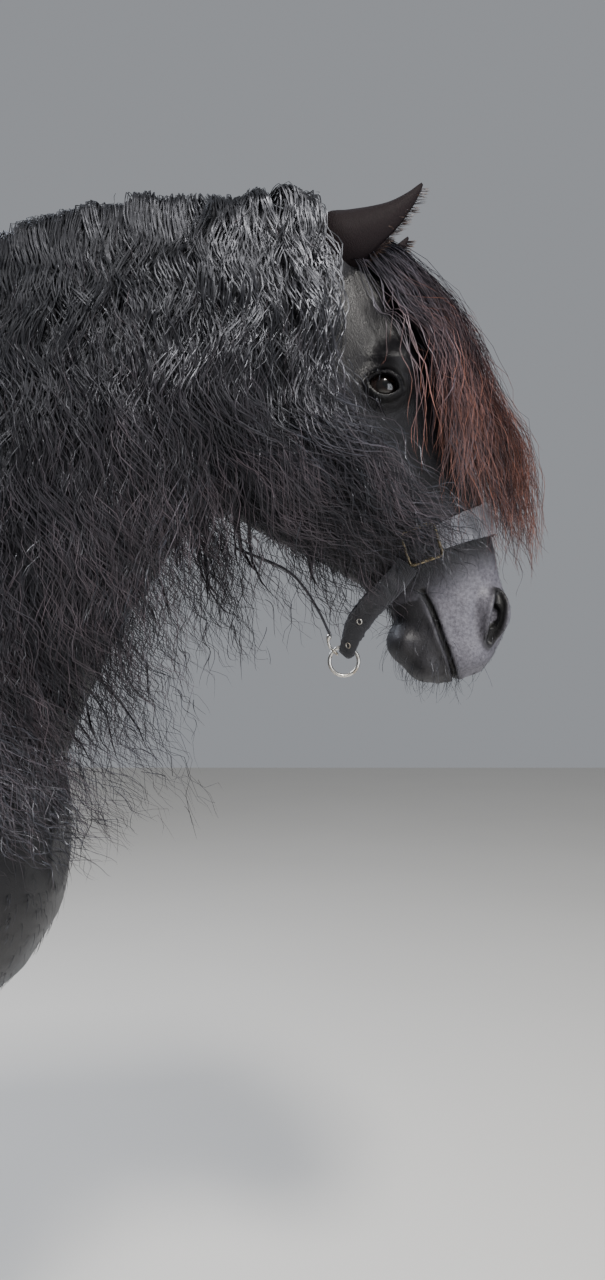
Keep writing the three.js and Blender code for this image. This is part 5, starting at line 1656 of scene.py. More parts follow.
@dataclass
class Mane:
    """The mane: wavy locks in depths from the crest, all fallen to the right, with frizz over them."""

    shape: HorseShape
    lanes: int = 110
    depths: int = 4
    locks: int = 31
    under: int = 220
    strands: int = 2350
    loose: int = 4100
    seed: int = 41

    def guides(self) -> HairLie:
        """Guides from the crest, in depths that lie over one another."""
        draw = np.random.default_rng(self.seed)
        n = self.lanes * self.depths
        lane, depth = np.divmod(np.arange(n), self.depths)
        share = np.clip((lane + draw.uniform(0, 1, n)) / self.lanes, 0, 1)
        t = mix(1.1, 8.15, share**0.92)
        poll = np.clip((t - 6.15) / 1.2, 0, 1)
        upper = depth > 1
        lock = (share * self.locks + draw.normal(0, 0.16, n) + 0.5 * upper).astype(int).clip(0, self.locks)
        lock += (self.locks + 1) * upper
        e, centre, _, _, up, _, _, _ = self.shape.neck.at(t)
        over = centre + e * (up + 6)[:, None]
        crest = columns(over[:, 0], -1 - 4.5 * depth + draw.uniform(-3, 3, n), over[:, 1])
        root = self.shape.project(crest, self.shape.body, 8)
        root -= np.array([0, 0, 6.0])
        length = graph(MANE_LENGTH, t) * draw.uniform(0.84, 1.08, n) * (1 - 0.03 * depth)
        rise = draw.uniform(-2, 4, 2 * self.locks + 2)[lock]
        tall = 8 + 10.0 * depth + rise + draw.uniform(-2, 4, n)
        stray = draw.normal(0, 3.0, n) + draw.normal(0, 2.6, 2 * self.locks + 2)[lock] * (1 - 0.6 * poll)
        ahead = 7.0 * poll * (depth == self.depths - 1) * np.abs(draw.normal(0, 1, n))
        start = columns(0.1 + 0.2 * poll, -0.5 - 0.5 * poll - 0.12 * depth, 1 - 0.5 * poll - 0.1 * depth)

        def flow(p: Array, _share: float) -> Array:
            """Down the neck and, lower, forward on the wind."""
            fall = mix(graph(FALL, p[:, 2]), graph(FALL_AT_POLL, p[:, 2]), poll)
            angle = np.radians(fall + stray - ahead * ramp(-p[:, 2], -1620, -1570))
            return columns(np.cos(angle), 0.0, -np.sin(angle))

        lie = trace(self.shape, self.shape.body, root, start, flow, length,
                    lambda share: tall + 20 * bell(share - 0.08, 0.06), lock=lock,
                    depth=depth / (self.depths - 1), ways=(0.15, 1.0, 1.0))
        lie.bunch(0.48)
        return lie

    def build(self, material: Material) -> list[Object]:
        """Makes the mane's pieces."""
        lie = self.guides()
        solid = self.shape.body
        draw = np.random.default_rng(self.seed + 1)
        n = len(lie.length)
        depth = np.arange(n) % self.depths
        big, small, crimp = Wave(8.5, 5.0, 172, 0.35), Wave(7.2, 4.8, 82, 0.42), Wave(3.2, 3.0, 46, 1.3)
        # The under-locks get a factor of 0.1 on their tone: drawn much darker, as painted shade under the mane.
        under = Growth(24, 10.0, 4.0, 0.0, (big,), 0.25, 5.0, 3.0, 0.1)
        hair = Growth(44, 1.45, 7.5, 6.5, (big, small), 0.36, 13.0, 5.0)
        frizz = Growth(12, 0.9, 15.0, 10.0, (big, Wave(5.6, 5.0, 84, 0.7), crimp), 0.4, 9.0, 8.0)
        deep, top = np.nonzero((depth < 2) & (np.arange(n) < 0.86 * n))[0], np.nonzero(depth >= 1)[0]
        parts = grow_whole(lie, self.under, (0.7, 0.9), under, solid, draw, deep).split()
        parts += grow_whole(lie, self.strands, (0.84, 1.0), hair, solid, draw).split()
        guide = np.sort(top[draw.integers(0, len(top), self.loose)])
        start = draw.uniform(0.02, 0.95, self.loose) ** 0.65
        parts += grow(lie, guide, start, draw.uniform(0.09, 0.22, self.loose), frizz, solid, draw).split()
        made = [part.build(f"mane_{i + 1}", material) for i, part in enumerate(parts)]
        LOG.info("mane %d pieces, %d triangles", len(made), sum(p.triangles() * len(p.paths) for p in parts))
        return made


@dataclass
class Forelock:
    """The forelock: frizzy hair from between the ears, standing off the face and turning red to its tips."""

    shape: HorseShape
    guides_count: int = 170
    strands: int = 1320
    loose: int = 1000
    front: float = 1375.0
    slack: float = 14.0
    seed: int = 23

    def guides(self) -> HairLie:
        """Guides down the face, in depths."""
        draw = np.random.default_rng(self.seed)
        n = self.guides_count
        across = draw.uniform(-1, 1, n) + 0.12 * draw.normal(0, 1, n)
        row = draw.uniform(0, 1, n) ** 1.25
        down = 4 + 48 * np.abs(across) + draw.uniform(0, 30, n)
        root = self.shape.project(head_point(down, -20.0 - 34 * np.abs(across), 60 * across), self.shape.body)
        out = unit(self.shape.gradient(self.shape.body, root))
        start = OUT_OF_FACE + columns(0.3, 0.5 * across, 0.2)

        def flow(_p: Array, share: float) -> Array:
            """Down the face, first out of it and later back to it."""
            lean = mix((0.36 + 0.5 * row) * (1 - 0.5 * np.abs(across)), 0.1 - 0.35 * row, share)
            out_of_face = (lean - 0.15 * across**2)[:, None] * OUT_OF_FACE
            return unit(DOWN_FACE + out_of_face + columns(0.0, 0.3 * across * (1 - share), 0.0))

        def tall(share: float) -> Array:
            """The height of the hair off the face."""
            return 8 + (22 + 62 * row) * np.sin(math.pi * min(share, 0.9) ** 1.3) * (1 - 0.5 * np.abs(across))

        length = draw.uniform(440, 545, n) - 165 * np.minimum(np.abs(across), 1) ** 1.5
        lock = ((across + 1.4) * 3.4).astype(int).clip(0, 9) + 10 * (row * 2.4).astype(int)
        root -= 8 * out
        lie = trace(self.shape, self.shape.body, root, start, flow, length, tall, lock=lock, depth=row)
        lie.bunch(0.06)
        return lie

    def build(self, material: Material) -> list[Object]:
        """Makes the forelock's pieces."""
        lie = self.guides()
        draw = np.random.default_rng(self.seed + 1)
        soft = (Wave(4.5, 4.0, 190, 0.9), Wave(2.4, 2.4, 80, 1.3))
        wild = (Wave(4.5, 4.0, 190, 1.2), Wave(2.6, 2.8, 60, 1.8))
        hair = Growth(21, 1.15, 12.0, 10.0, soft, 0.34, 22.0, 5.0)
        frizz = Growth(9, 0.75, 15.0, 17.0, wild, 0.45, 26.0, 5.0)
        parts = [grow_whole(lie, self.strands, (0.8, 1.02), hair, self.shape.body, draw)]
        guide = np.sort(draw.integers(0, self.guides_count, self.loose))
        start = draw.uniform(0.1, 0.92, self.loose)
        reach = draw.uniform(0.15, 0.34, self.loose)
        parts.append(grow(lie, guide, start, reach, frizz, self.shape.body, draw))
        for part in parts:
            past = np.maximum(part.paths[..., 0] - self.front, 0)
            part.paths[..., 0] -= past - self.slack * (1 - np.exp(-past / self.slack))
        return [part.build(f"forelock_{i + 1}", material) for i, part in enumerate(parts)]


@dataclass
class Tail:
    """The tail: wavy hair from the dock down to just above the ground."""

    shape: HorseShape
    guides_count: int = 100
    strands: int = 560
    seed: int = 5
    tip: float = 90.0

    def guides(self) -> HairLie:
        """Guides from all round the dock."""
        draw = np.random.default_rng(self.seed)
        n = self.guides_count
        index = np.arange(n)
        on = 0.26 + 0.7 * (index + 0.5) / n
        dock = self.shape.dock
        place = on * (len(dock) - 1)
        i = np.minimum(place.astype(int), len(dock) - 2)
        root = dock[i] + (place - i)[:, None] * (dock[i + 1] - dock[i])
        angle = np.radians(137.5 * index)
        out = columns(-0.85 * np.cos(angle), 1.15 * np.sin(angle), 0.0)
        fullness = np.sqrt(draw.uniform(0.04, 1, n))
        length = (root[:, 2] - self.tip) * draw.uniform(0.8, 1.0, n)
        s = np.linspace(0, 1, GUIDE_STEPS + 1)
        swell = np.sin(math.pi * np.minimum(1, 0.1 + 0.8 * s))
        wave = 7 * np.minimum(1, 3 * s) * np.sin(6.2 * s + 0.9 * index[:, None])
        fall = columns(-26 * swell - 10 * s, wave, -length[:, None] * s)
        track = root[:, None] + fall + out[:, None] * (4 + 100 * fullness[:, None] * swell)[..., None]
        track[:, 0] = root
        ways = np.repeat(unit(out + np.array([0, 0, 0.05]))[:, None], len(s), axis=1)
        return HairLie(track, ways, length, index // 4, fullness)

    def build(self, material: Material) -> list[Object]:
        """Makes the tail's pieces."""
        lie = self.guides()
        draw = np.random.default_rng(self.seed + 1)
        waves = (Wave(7.0, 6.0, 280, 0.4), Wave(3.6, 3.0, 130, 0.6))
        hair = Growth(46, 4.6, 10.0, 7.0, waves, 0.3, 12.0, 2.0)
        parts = grow_whole(lie, self.strands, (0.72, 1.0), hair, self._free, draw).split()
        return [part.build(f"tail_{i + 1}", material) for i, part in enumerate(parts)]

    @staticmethod
    def _free(p: Array) -> Array:
        """A distance that holds nothing off, because the tail hangs free."""
        return np.full(len(p), 50.0)


@dataclass
class Feather:
    """The feather of one leg: hair from the back of the cannon and round the fetlock, over the hoof."""

    shape: HorseShape
    leg: Leg
    guides_count: int = 90
    strands: int = 330
    seed: int = 3

    def guides(self) -> HairLie:
        """Guides in tiers, the lowest all the way round."""
        draw = np.random.default_rng(self.seed)
        n = self.guides_count
        tier = np.arange(n) % 3
        top = 372.0 if self.leg.end is End.FORE else 396.0
        z = np.choose(tier, [172.0, 258.0, top]) - draw.uniform(0, np.choose(tier, [30, 70, 120]))
        half_turn = np.choose(tier, [172.0, 112.0, 44.0])
        angle = np.radians(180 + draw.uniform(-1, 1, n) * half_turn)
        _, centre, y, _, _, _, _, _ = self.leg.slices.at(self.leg.row(z))
        out = columns(np.cos(angle), np.sin(angle), 0.0)
        root = self.shape.project(columns(centre[:, 0], y, z) + 52 * out, self.shape.body, 6)
        length = (root[:, 2] - 24) * draw.uniform(0.84, 1.02, n)
        tall = np.choose(tier, [5.0, 10.0, 8.0]) + draw.uniform(0, 7, n)

        def flow(_p: Array, share: float) -> Array:
            """Down, flaring a little at first."""
            return unit(np.array([-0.08, 0, -1]) + (0.22 - 0.2 * share) * out)

        start = out + np.array([0, 0, -0.5])
        root -= 5 * out
        return trace(self.shape, self.shape.with_hooves, root, start, flow, length, lambda _: tall, 24)

    def build(self, material: Material) -> Object:
        """Makes the feather of the leg."""
        draw = np.random.default_rng(self.seed + 1)
        hair = Growth(15, 3.6, 5.0, 4.0, (Wave(2.2, 1.8, 70, 0.6), Wave(1.2, 1.0, 34, 0.9)), 0.42, 8.0, 2.5)
        made = grow_whole(self.guides(), self.strands, (0.75, 1.03), hair, self.shape.with_hooves, draw)
        made.paths[..., 2] = np.maximum(made.paths[..., 2], 6.0)
        return made.build(f"feather_{self.leg.word}", material)


# Short hair


@dataclass
class Patch:
    """One kind of short hair: how many tufts, how long and wide, how far they stand, and where."""

    name: str
    count: int
    length: tuple[float, float]
    width: float
    stand: float
    where: Callable[[Array, Array], Array]


def on_face(p: Array, n: Array) -> Array:
    """The head where it breaks against the light: the profile, the underside and round the ears."""
    u, _ = head_axes(p)
    clear = np.linalg.norm(to_left(p) - head_point(*EYE), axis=1) > 36
    on_head = (p[:, 0] > 1020) & (p[:, 2] > 1250) & (np.abs(n[:, 1]) < 0.45)
    return on_head * clear * np.where(u > 500, 0.3, 1.0)


def edges(p: Array, n: Array) -> Array:
    """The belly, the breast, the back line, the buttocks, the elbows and the backs of the legs."""
    belly = (n[:, 2] < -0.72) & (p[:, 2] > 760) & (p[:, 0] < 760)
    back = (n[:, 0] < -0.6) & (p[:, 2] > 380) & (p[:, 2] < 1250)
    breast = (n[:, 0] > 0.72) & (p[:, 2] > 900) & (p[:, 0] < 800)
    topline = (n[:, 2] > 0.85) & (p[:, 0] < 200) & (p[:, 2] > 1300)
    return belly * 1.0 + back * 0.8 + breast * 0.7 + topline * 0.5


def under_jaw(p: Array, n: Array) -> Array:
    """Below the jaw and the throat."""
    return ((p[:, 0] > 930) & (p[:, 2] > 1330) & (n @ np.array([-0.5, 0, -0.85]) > 0.5)) * 1.0


def chin(p: Array, _n: Array) -> Array:
    """The chin and the lips."""
    u, v = head_axes(p)
    return ((p[:, 0] > 1150) & (u > 500) & (v < -92)) * 1.0 + ((p[:, 0] > 1200) & (u > 565) & (v < -60)) * 0.3


PATCHES = (
    Patch("coat_tufts_body", 3600, (15, 28), 1.5, 0.20, edges),
    Patch("coat_tufts_face", 1500, (4, 7), 0.7, 0.22, on_face),
    Patch("coat_tufts_jaw", 700, (14, 30), 1.1, 0.42, under_jaw),
    Patch("chin_hairs", 240, (10, 32), 0.55, 0.7, chin),
)


@dataclass
class ShortHair:
    """Short hair that breaks the form of the coat on every side, with lashes and the ears' hair."""

    shape: HorseShape
    skin: Object
    seed: int = 8

    def _places(self) -> tuple[Array, Array, Array]:
        """The corners, middles and areas of the skin's triangles."""
        mesh = self.skin.data
        mesh.calc_loop_triangles()
        index = np.empty(3 * len(mesh.loop_triangles), np.int32)
        mesh.loop_triangles.foreach_get("vertices", index)
        corners = millimetres(mesh)[index.reshape(-1, 3)]
        normal = np.cross(corners[:, 1] - corners[:, 0], corners[:, 2] - corners[:, 0])
        return corners, unit(normal), np.linalg.norm(normal, axis=1)

    @staticmethod
    def lie(p: Array) -> Array:
        """The way the coat lies."""
        on_head = ramp(p[:, 0], 1000, 1100) * ramp(p[:, 2], 1240, 1300)
        on_leg = ramp(-p[:, 2], -1000, -820)
        way = np.array([-0.85, 0, -0.5]) + on_leg[:, None] * np.array([0.75, 0, -0.5])
        return mix(way, DOWN_FACE - 0.35 * OUT_OF_FACE, on_head[:, None])

    def _tufts(self, patch: Patch, places: tuple[Array, Array, Array], draw: Draw) -> Strands:
        """The tufts of one patch."""
        corners, normals, areas = places
        weight = areas * patch.where(corners.mean(axis=1), normals)
        pick = draw.choice(len(areas), patch.count, p=weight / weight.sum())
        a, b = draw.uniform(0, 1, (2, patch.count, 1))
        a, b = np.where(a + b > 1, 1 - a, a), np.where(a + b > 1, 1 - b, b)
        at = corners[pick]
        root = at[:, 0] + a * (at[:, 1] - at[:, 0]) + b * (at[:, 2] - at[:, 0])
        out = unit(self.shape.gradient(self.shape.skin, root))
        way = unit(self.lie(root)) + 0.22 * draw.normal(0, 1, (patch.count, 3))
        way = unit(way - out * (way * out).sum(axis=1, keepdims=True))
        rings = 7 if patch.stand > 0.6 else 4
        s = np.linspace(0, 1, rings)[None, :, None]
        length = draw.uniform(*patch.length, patch.count)[:, None, None]
        stand = patch.stand * draw.uniform(0.5, 1.5, patch.count)[:, None, None]
        bend = draw.normal(0, 0.16, (patch.count, 1, 1)) * np.cross(out, way)[:, None]
        rise = -1.2 * (1 - s) ** 3 + length * stand * (1 - (1 - s) ** 2) * 0.8
        paths = root[:, None] + way[:, None] * length * s + out[:, None] * rise + bend * length * s**2
        paths[..., 2] = np.maximum(paths[..., 2], 3.0)
        wide = patch.width * draw.uniform(0.6, 1.2, patch.count)[:, None] * taper(s[..., 0])
        outs = np.repeat(out[:, None], rings, axis=1)
        return Strands(paths, outs, wide, np.maximum(0.35 * wide, 0.2), draw.uniform(0, 1, patch.count), root)

    def lashes(self, draw: Draw) -> Strands:
        """Lashes on the upper lids."""
        paths, outs = [], []
        s = np.linspace(0, 1, 6)[:, None]
        for side in Side:
            centre = on_side(EYE, side)
            for a in draw.uniform(-15, 14, 44):
                b = 15.0 * math.sqrt(max(1 - (a / 18.5) ** 2, 0.0)) - 0.5 - 0.25 * a
                root = centre + np.array([a, side.value * math.sqrt(max(25.0**2 - a * a - b * b, 9)), b])
                length = draw.uniform(11, 19)
                way = np.array([0.018 * a + 0.15, side.value * 1.0, 0.25]) + 0.1 * draw.normal(0, 1, 3)
                paths.append(root + length * (s * unit(way) + s**2 * np.array([0.1, 0, -0.5])))
                outs.append(np.repeat([[0.0, 0.0, 1.0]], 6, axis=0))
        paths, outs = np.array(paths), np.array(outs)
        n = len(paths)
        wide = np.full((n, 1), 0.7) * taper(s.T)
        return Strands(paths, outs, wide, wide * 0.6, draw.uniform(0, 0.4, n), paths[:, 0])

    def ear_hair(self, draw: Draw) -> Strands:
        """Hair along the edges of the ears and fluff in their openings."""
        paths, outs = [], []
        t = np.linspace(0, 1, 5)[:, None]
        for side in Side:
            ear = Ear(side)
            _, _, along, _, down = ear.axes()
            for k in range(430):
                s = draw.uniform(0.08, 0.97)
                ring = ear.ring(s)
                edge = draw.integers(0, 2)
                if k % 5 < 2:
                    root = ring[draw.integers(ear.around + 2, 2 * ear.around - 2)]
                    out = unit(ring[ear.around :].mean(axis=0) - root + 0.01)
                    way = 0.9 * down + 0.6 * along + 0.5 * out + 0.25 * draw.normal(0, 1, 3)
                    length = draw.uniform(12, 24) * (1.15 - s)
                else:
                    root = ring[(0, ear.around - 1)[edge]]
                    out = unit(root - ring[: ear.around].mean(axis=0))
                    way = along + 0.7 * down + 0.35 * out + 0.2 * draw.normal(0, 1, 3)
                    length = draw.uniform(7, 13)
                paths.append(root - unit(way) + length * (t * unit(way) + 0.25 * t**2 * along))
                outs.append(np.repeat([out], 5, axis=0))
        paths, outs = np.array(paths), np.array(outs)
        n = len(paths)
        wide = draw.uniform(0.7, 1.3, (n, 1)) * taper(t.T)
        return Strands(paths, outs, wide, wide * 0.4, draw.uniform(0.2, 1, n), paths[:, 0])

    def build(self, black: Material, brown: Material) -> list[Object]:
        """Makes all short hair."""
        draw = np.random.default_rng(self.seed)
        places = self._places()
        made = [self._tufts(patch, places, draw).build(patch.name, black) for patch in PATCHES]
        made.append(self.lashes(draw).build("eyelashes", black))
        made.append(self.ear_hair(draw).build("ear_hair", brown))
        return made


# Ears, eyes and hooves


@dataclass
class Ear:
    """One ear: a pointed leaf of skin rolled into a cup, pricked forward and open in front."""

    side: Side
    root: Point = (52, -83, 57)
    tip: Point = (21, 48, 79)
    rows: tuple = ((-0.22, 24, 3), (0, 33.5, 3), (0.17, 36, 2.5), (0.33, 28.5, 8.5), (0.5, 20.5, 12),
                   (0.67, 13.6, 12.5), (0.85, 7.8, 8), (0.95, 4.2, 3), (1, 1.6, 0))
    around: int = 26
    along: int = 30

    def axes(self) -> tuple[Array, Array, Array, Array, Array]:
        """Root, tip, and the ways along, across and down the open side."""
        side = self.side.value
        root, tip = on_side(self.root, self.side), on_side(self.tip, self.side)
        along = unit(tip - root)
        across = np.array([0.0, side, 0.0])
        across = unit(across - along * (across @ along))
        down = unit(np.cross(across, along)) * side
        return root, tip, along, across, -down if down[2] > 0 else down

    def ring(self, s: float) -> Array:
        """One closed section: the outer skin from edge to edge of the opening and the inner one back."""
        root, tip, _, across, down = self.axes()
        rows = np.array(self.rows, float)
        t = np.interp(s, rows[:, 0], np.arange(len(rows)))
        _, half, drop = spline(rows, np.array([t]))[0]
        bow = 9 * math.sin(math.pi * min(max(s, 0), 1))
        centre = root + (tip - root) * s + down * drop + across * bow
        half *= 1.0 + 0.14 * math.sin(math.pi * min(max(s, 0), 1))
        gap = np.interp(s, [-0.22, 0.02, 0.14, 0.4, 0.75, 1.0], [0.05, 0.08, 0.5, 0.72, 0.62, 0.45])
        wall = np.interp(s, [0, 0.5, 1.0], [4.4, 2.8, 1.2])
        deep = np.interp(s, [0.0, 0.12, 0.3, 1.0], [0.25, 0.55, 1.0, 1.0])
        angle = np.linspace(gap, 2 * math.pi - gap, self.around) - 0.3
        wide = half * 0.62
        outer = centre + half * np.cos(angle)[:, None] * down + wide * np.sin(angle)[:, None] * across
        inner_half, inner_wide = max(half - wall, 0.5) * deep, max(wide - wall, 0.4) * deep
        inner = inner_half * np.cos(angle)[:, None] * down + inner_wide * np.sin(angle)[:, None] * across
        return np.vstack([outer, centre + inner[::-1]])

    def build(self, material: Material) -> Object:
        """Makes the ear."""
        shares = np.concatenate([np.linspace(-0.2, 0.3, 12), np.linspace(0.34, 0.995, self.along - 12)])
        rings = np.array([self.ring(s) for s in shares])
        made = loft_object(f"ear_skin_{self.side.word}", rings, material)
        count = len(made.data.vertices)
        inner = np.arange(count) % (2 * self.around) >= self.around
        store(made.data, "parts", columns(np.ones(count), 0.0, 0.0))
        # The inner shell gets the shade mark: painted shade inside the ear.
        store(made.data, "marks", columns(0.0, 0.6 * inner, 0.9))
        return made


@dataclass
class Eye:
    """One eyeball, with the cornea's bulge, and its own coordinates for the iris."""

    side: Side
    radius: float = EYE_RADIUS - 0.5
    around: int = 64
    up: int = 40

    def build(self, material: Material) -> Object:
        """Makes the eyeball with its pole looking out."""
        centre = on_side(EYE, self.side)
        look = unit(np.array([0.22, self.side.value, -0.03]))
        along = np.array([1.0, 0, -0.25])
        along = unit(along - look * (along @ look))
        up = np.cross(look, along) * self.side.value
        up = up if up[2] > 0 else -up
        polar = np.linspace(0.04, math.pi - 0.04, self.up)
        turn = 2 * math.pi * np.arange(self.around) / self.around
        rings, marks = [], []
        for angle in polar:
            bulge = 1.0 + 0.045 * math.exp(-((angle / 0.62) ** 4))
            r = self.radius * bulge
            circle = np.cos(turn)[:, None] * along + np.sin(turn)[:, None] * up
            rings.append(centre + r * (math.cos(angle) * look + math.sin(angle) * circle))
            flat = math.sin(angle) / math.sin(0.72) if angle < math.pi / 2 else 2.0
            marks.append(columns(flat * np.cos(turn), flat * np.sin(turn), math.cos(angle)))
        made = loft_object(f"eyeball_{self.side.word}", np.array(rings), material)
        iris = np.vstack([np.vstack(marks), [[0, 0, 1], [0, 2, -1]]])
        store(made.data, "iris", iris)
        return made


@dataclass
class Hoof:
    """One hoof: a flared wall with growth rings and a flat ground edge."""

    leg: Leg
    around: int = 64
    up: int = 40

    def build(self, material: Material) -> Object:
        """Makes the hoof."""
        table = np.array(HOOVES[self.leg.end][::-1], float)
        levels = np.concatenate([[0.0, 1.2, 3.0], np.linspace(5, HOOF_HEIGHT - 2, self.up), [HOOF_HEIGHT]])
        angle = 2 * math.pi * np.arange(self.around) / self.around
        rings = []
        for z in levels:
            front, back, half = (np.interp(z, table[:, 0], table[:, c]) for c in (1, 2, 3))
            ripple = 0.45 * math.sin(z / 1.25) + 0.5 * math.sin(z / 3.1 + 1) if 5 < z < 80 else 0.0
            edge = -2.2 if z == 0 else -0.9 if z < 2 else 0.0
            roll = -2.5 * max(z - 80, 0) / 6
            swell = ripple + edge + roll
            middle, deep = (front + back) / 2 + self.leg.shift(z), (front - back) / 2
            heel = np.where(np.cos(angle) < 0, 0.86, 1.0)
            cleft = 5.0 * bell(angle - math.pi, 0.16) * (z < 60)
            across = self.leg.side.value * HOOF_OUT + (half + swell) * heel * np.sin(angle)
            rings.append(columns(middle + (deep + swell - cleft) * np.cos(angle), across, z))
        return loft_object(f"hoof_{self.leg.word}", np.array(rings), material)


# Halter


@dataclass
class Stations:
    """Stations along a strap: points, ways out and ways across."""

    at: Array
    out: Array
    across: Array

    def run(self) -> Array:
        """The length along the strap at each station."""
        return np.append(0.0, np.cumsum(np.linalg.norm(np.diff(self.at, axis=0), axis=1)))

    def along(self) -> Array:
        """The way along the strap at each station."""
        return unit(np.gradient(self.at, axis=0))

    def between(self, place: float, values: Array) -> Array:
        """Values of the stations, read at a length along the strap."""
        return np.array([np.interp(place, self.run(), column) for column in values.T])


def mirrored_half(half: Sequence[Point]) -> list[Point]:
    """The points of a strap given on one side, with the same on the other before them."""
    return [(u, v, -y) for u, v, y in half[:0:-1]] + list(half)


# The section of a strap: shares of its width from the middle, and of its thickness from the skin
STRAP_PROFILE = (
    (-0.5, 0.5), (-0.485, 0.14), (-0.44, 0.0), (-0.2, -0.04), (0.2, -0.04), (0.44, 0.0), (0.485, 0.14),
    (0.5, 0.5), (0.485, 0.86), (0.44, 1.0), (0.2, 1.04), (0.0, 1.06), (-0.2, 1.04), (-0.44, 1.0),
    (-0.485, 0.86),
)


@dataclass
class Halter:
    """A webbing head halter with square cheek rings, a round ring under the chin and a small hook."""

    shape: HorseShape
    web: float = 3.0
    lift: float = 3.3
    nose_u: float = 425.0
    ring_v: float = -92.0
    ring_centre: Point = (1133, 0, 1303)
    ring_radius: float = 21.0
    ring_wire: float = 2.4
    square_half: float = 23.0
    square_wire: float = 2.1

    def on_skin(self, points: Sequence[Point], count: int, lie: Array | None = None) -> Stations:
        """Stations on the skin of the head under points given as u, v and y."""
        line = curve_through([head_point(*q) for q in points], count)
        at = self.shape.project(line, self.shape.body, 8)
        along = unit(np.gradient(at, axis=0))
        out = unit(self.shape.gradient(self.shape.body, at))
        for _ in range(2):
            out[1:-1] = unit(out[:-2] + 2 * out[1:-1] + out[2:])
        if lie is not None:
            return Stations(at, out, unit(lie - out * (out @ lie)[:, None]))
        across = unit(np.cross(along, out))
        return Stations(at, unit(np.cross(across, along)), across)

    def hanging(self, points: Sequence[Array], centre: Array, count: int) -> Stations:
        """Stations along a strap that hangs free, facing away from a centre."""
        at = curve_through(points, count)
        along = unit(np.gradient(at, axis=0))
        across = unit(np.cross(along, unit(at - centre)))
        return Stations(at, unit(np.cross(across, along)), across)

    def strap(
        self, name: str, s: Stations, width: Array, lift: float, material: Material, fray: float = 0.25
    ) -> Object:
        """A strap of webbing with rounded, slightly uneven edges.

        Args:
            name: the piece's name.
            s: its stations.
            width: its width at each.
            lift: how far it lies off the stations.
            material: its finish.
            fray: how uneven its edges are.

        Returns:
            The strap.
        """
        draw = np.random.default_rng(len(name))
        uneven = draw.normal(0, fray, (len(s.at), 2))
        rings, web = [], []
        for a, b in STRAP_PROFILE:
            edge = uneven[:, 0] if a < 0 else uneven[:, 1]
            shift = a * width + edge * (abs(a) > 0.4)
            rings.append(s.at + s.across * shift[:, None] + s.out * (lift + b * self.web))
            web.append(columns(a * width, s.run(), float(abs(a) > 0.43)))
        made = loft_object(name, np.stack(rings, axis=1), material)
        ends = [[0, 0, 0], [0, s.run()[-1], 0]]
        store(made.data, "web", np.vstack([np.stack(web, axis=1).reshape(-1, 3), ends]))
        return made

    def noseband(self) -> Stations:
        """Over the nose from one square ring to the other."""
        u = self.nose_u
        half = [(u, -4, 0), (u, -8, 28), (u + 1, -30, 55), (u + 3, self.ring_v + 14, 62)]
        return self.on_skin(mirrored_half(half), 81, DOWN_FACE)

    def headpiece(self) -> Stations:
        """From a square ring up the cheek, behind the ears and down to the other."""
        half = [(-12, -84, 0), (-10, -90, 34), (4, -118, 66), (44, -152, 78), (110, -164, 84),
                (190, -166, 92), (280, -150, 92), (360, -118, 76), (self.nose_u - 20, self.ring_v - 9, 64)]
        return self.on_skin(mirrored_half(half), 181)

    def throat_strap(self) -> Stations:
        """From one cheek round behind the jaw to the other."""
        half = [(312, -322, 0), (300, -316, -30), (236, -286, -62), (160, -232, -84), (88, -186, -84)]
        return self.on_skin(mirrored_half(half), 101)

    def chin_strap(self) -> Stations:
        """In a loop under the jaw from the square rings, through the round ring."""
        n, v = self.nose_u, self.ring_v
        half = [head_point(n + 22, v - 24, 68.0), head_point(n + 34, -132.0, 62.0),
                head_point(478.0, -168.0, 48.0), np.array([1148.0, 28, 1346]), np.array([1137.0, 8, 1316])]
        points = [*half, np.array([1134.0, 0, 1312.6]), *[p * np.array([1.0, -1.0, 1.0]) for p in half[::-1]]]
        return self.hanging(points, head_point(440.0, -70.0, 0.0), 121)

    def jaw_strap(self) -> Stations:
        """From the hook up to the jaw."""
        points = [(1116, 0, 1338), (1104, 0, 1364), (1086, 0, 1394), (1064, 0, 1418)]
        return self.hanging([*points, head_point(352.0, -308.0, 0.0)], np.array([1180.0, 0, 1440]), 41)

    def ring(self, material: Material) -> Object:
        """The round ring."""
        turn = 2 * math.pi * np.arange(72) / 72
        r = self.ring_radius - self.ring_wire
        path = np.array(self.ring_centre) + r * columns(np.cos(turn), 0.0, np.sin(turn))
        return loft_object("round_ring", sweep(path, self.ring_wire, 16, True), material, True)

    def hook(self, material: Material) -> Object:
        """The small hook from the jaw strap round the wire of the ring, with a collar at its top."""
        share = (self.ring_radius - self.ring_wire) * math.sqrt(0.5)
        centre = np.array(self.ring_centre) + np.array([-share, 0, share])
        angle = np.radians(np.linspace(15, 315, 8))
        lean = math.sqrt(0.5) * np.cos(angle)
        bend = centre + 6.4 * columns(-lean, np.sin(angle), lean)
        path = curve_through([np.array([1115, 0, 1337.4]), np.array([1113, 0, 1329]), *bend], 90)
        run = np.linspace(0, 1, 90)
        radius = 1.9 + 1.5 * bell(run - 0.05, 0.04) - 0.7 * ramp(run, 0.93, 1.0)
        return loft_object("ring_hook", sweep(path, radius, 12), material)

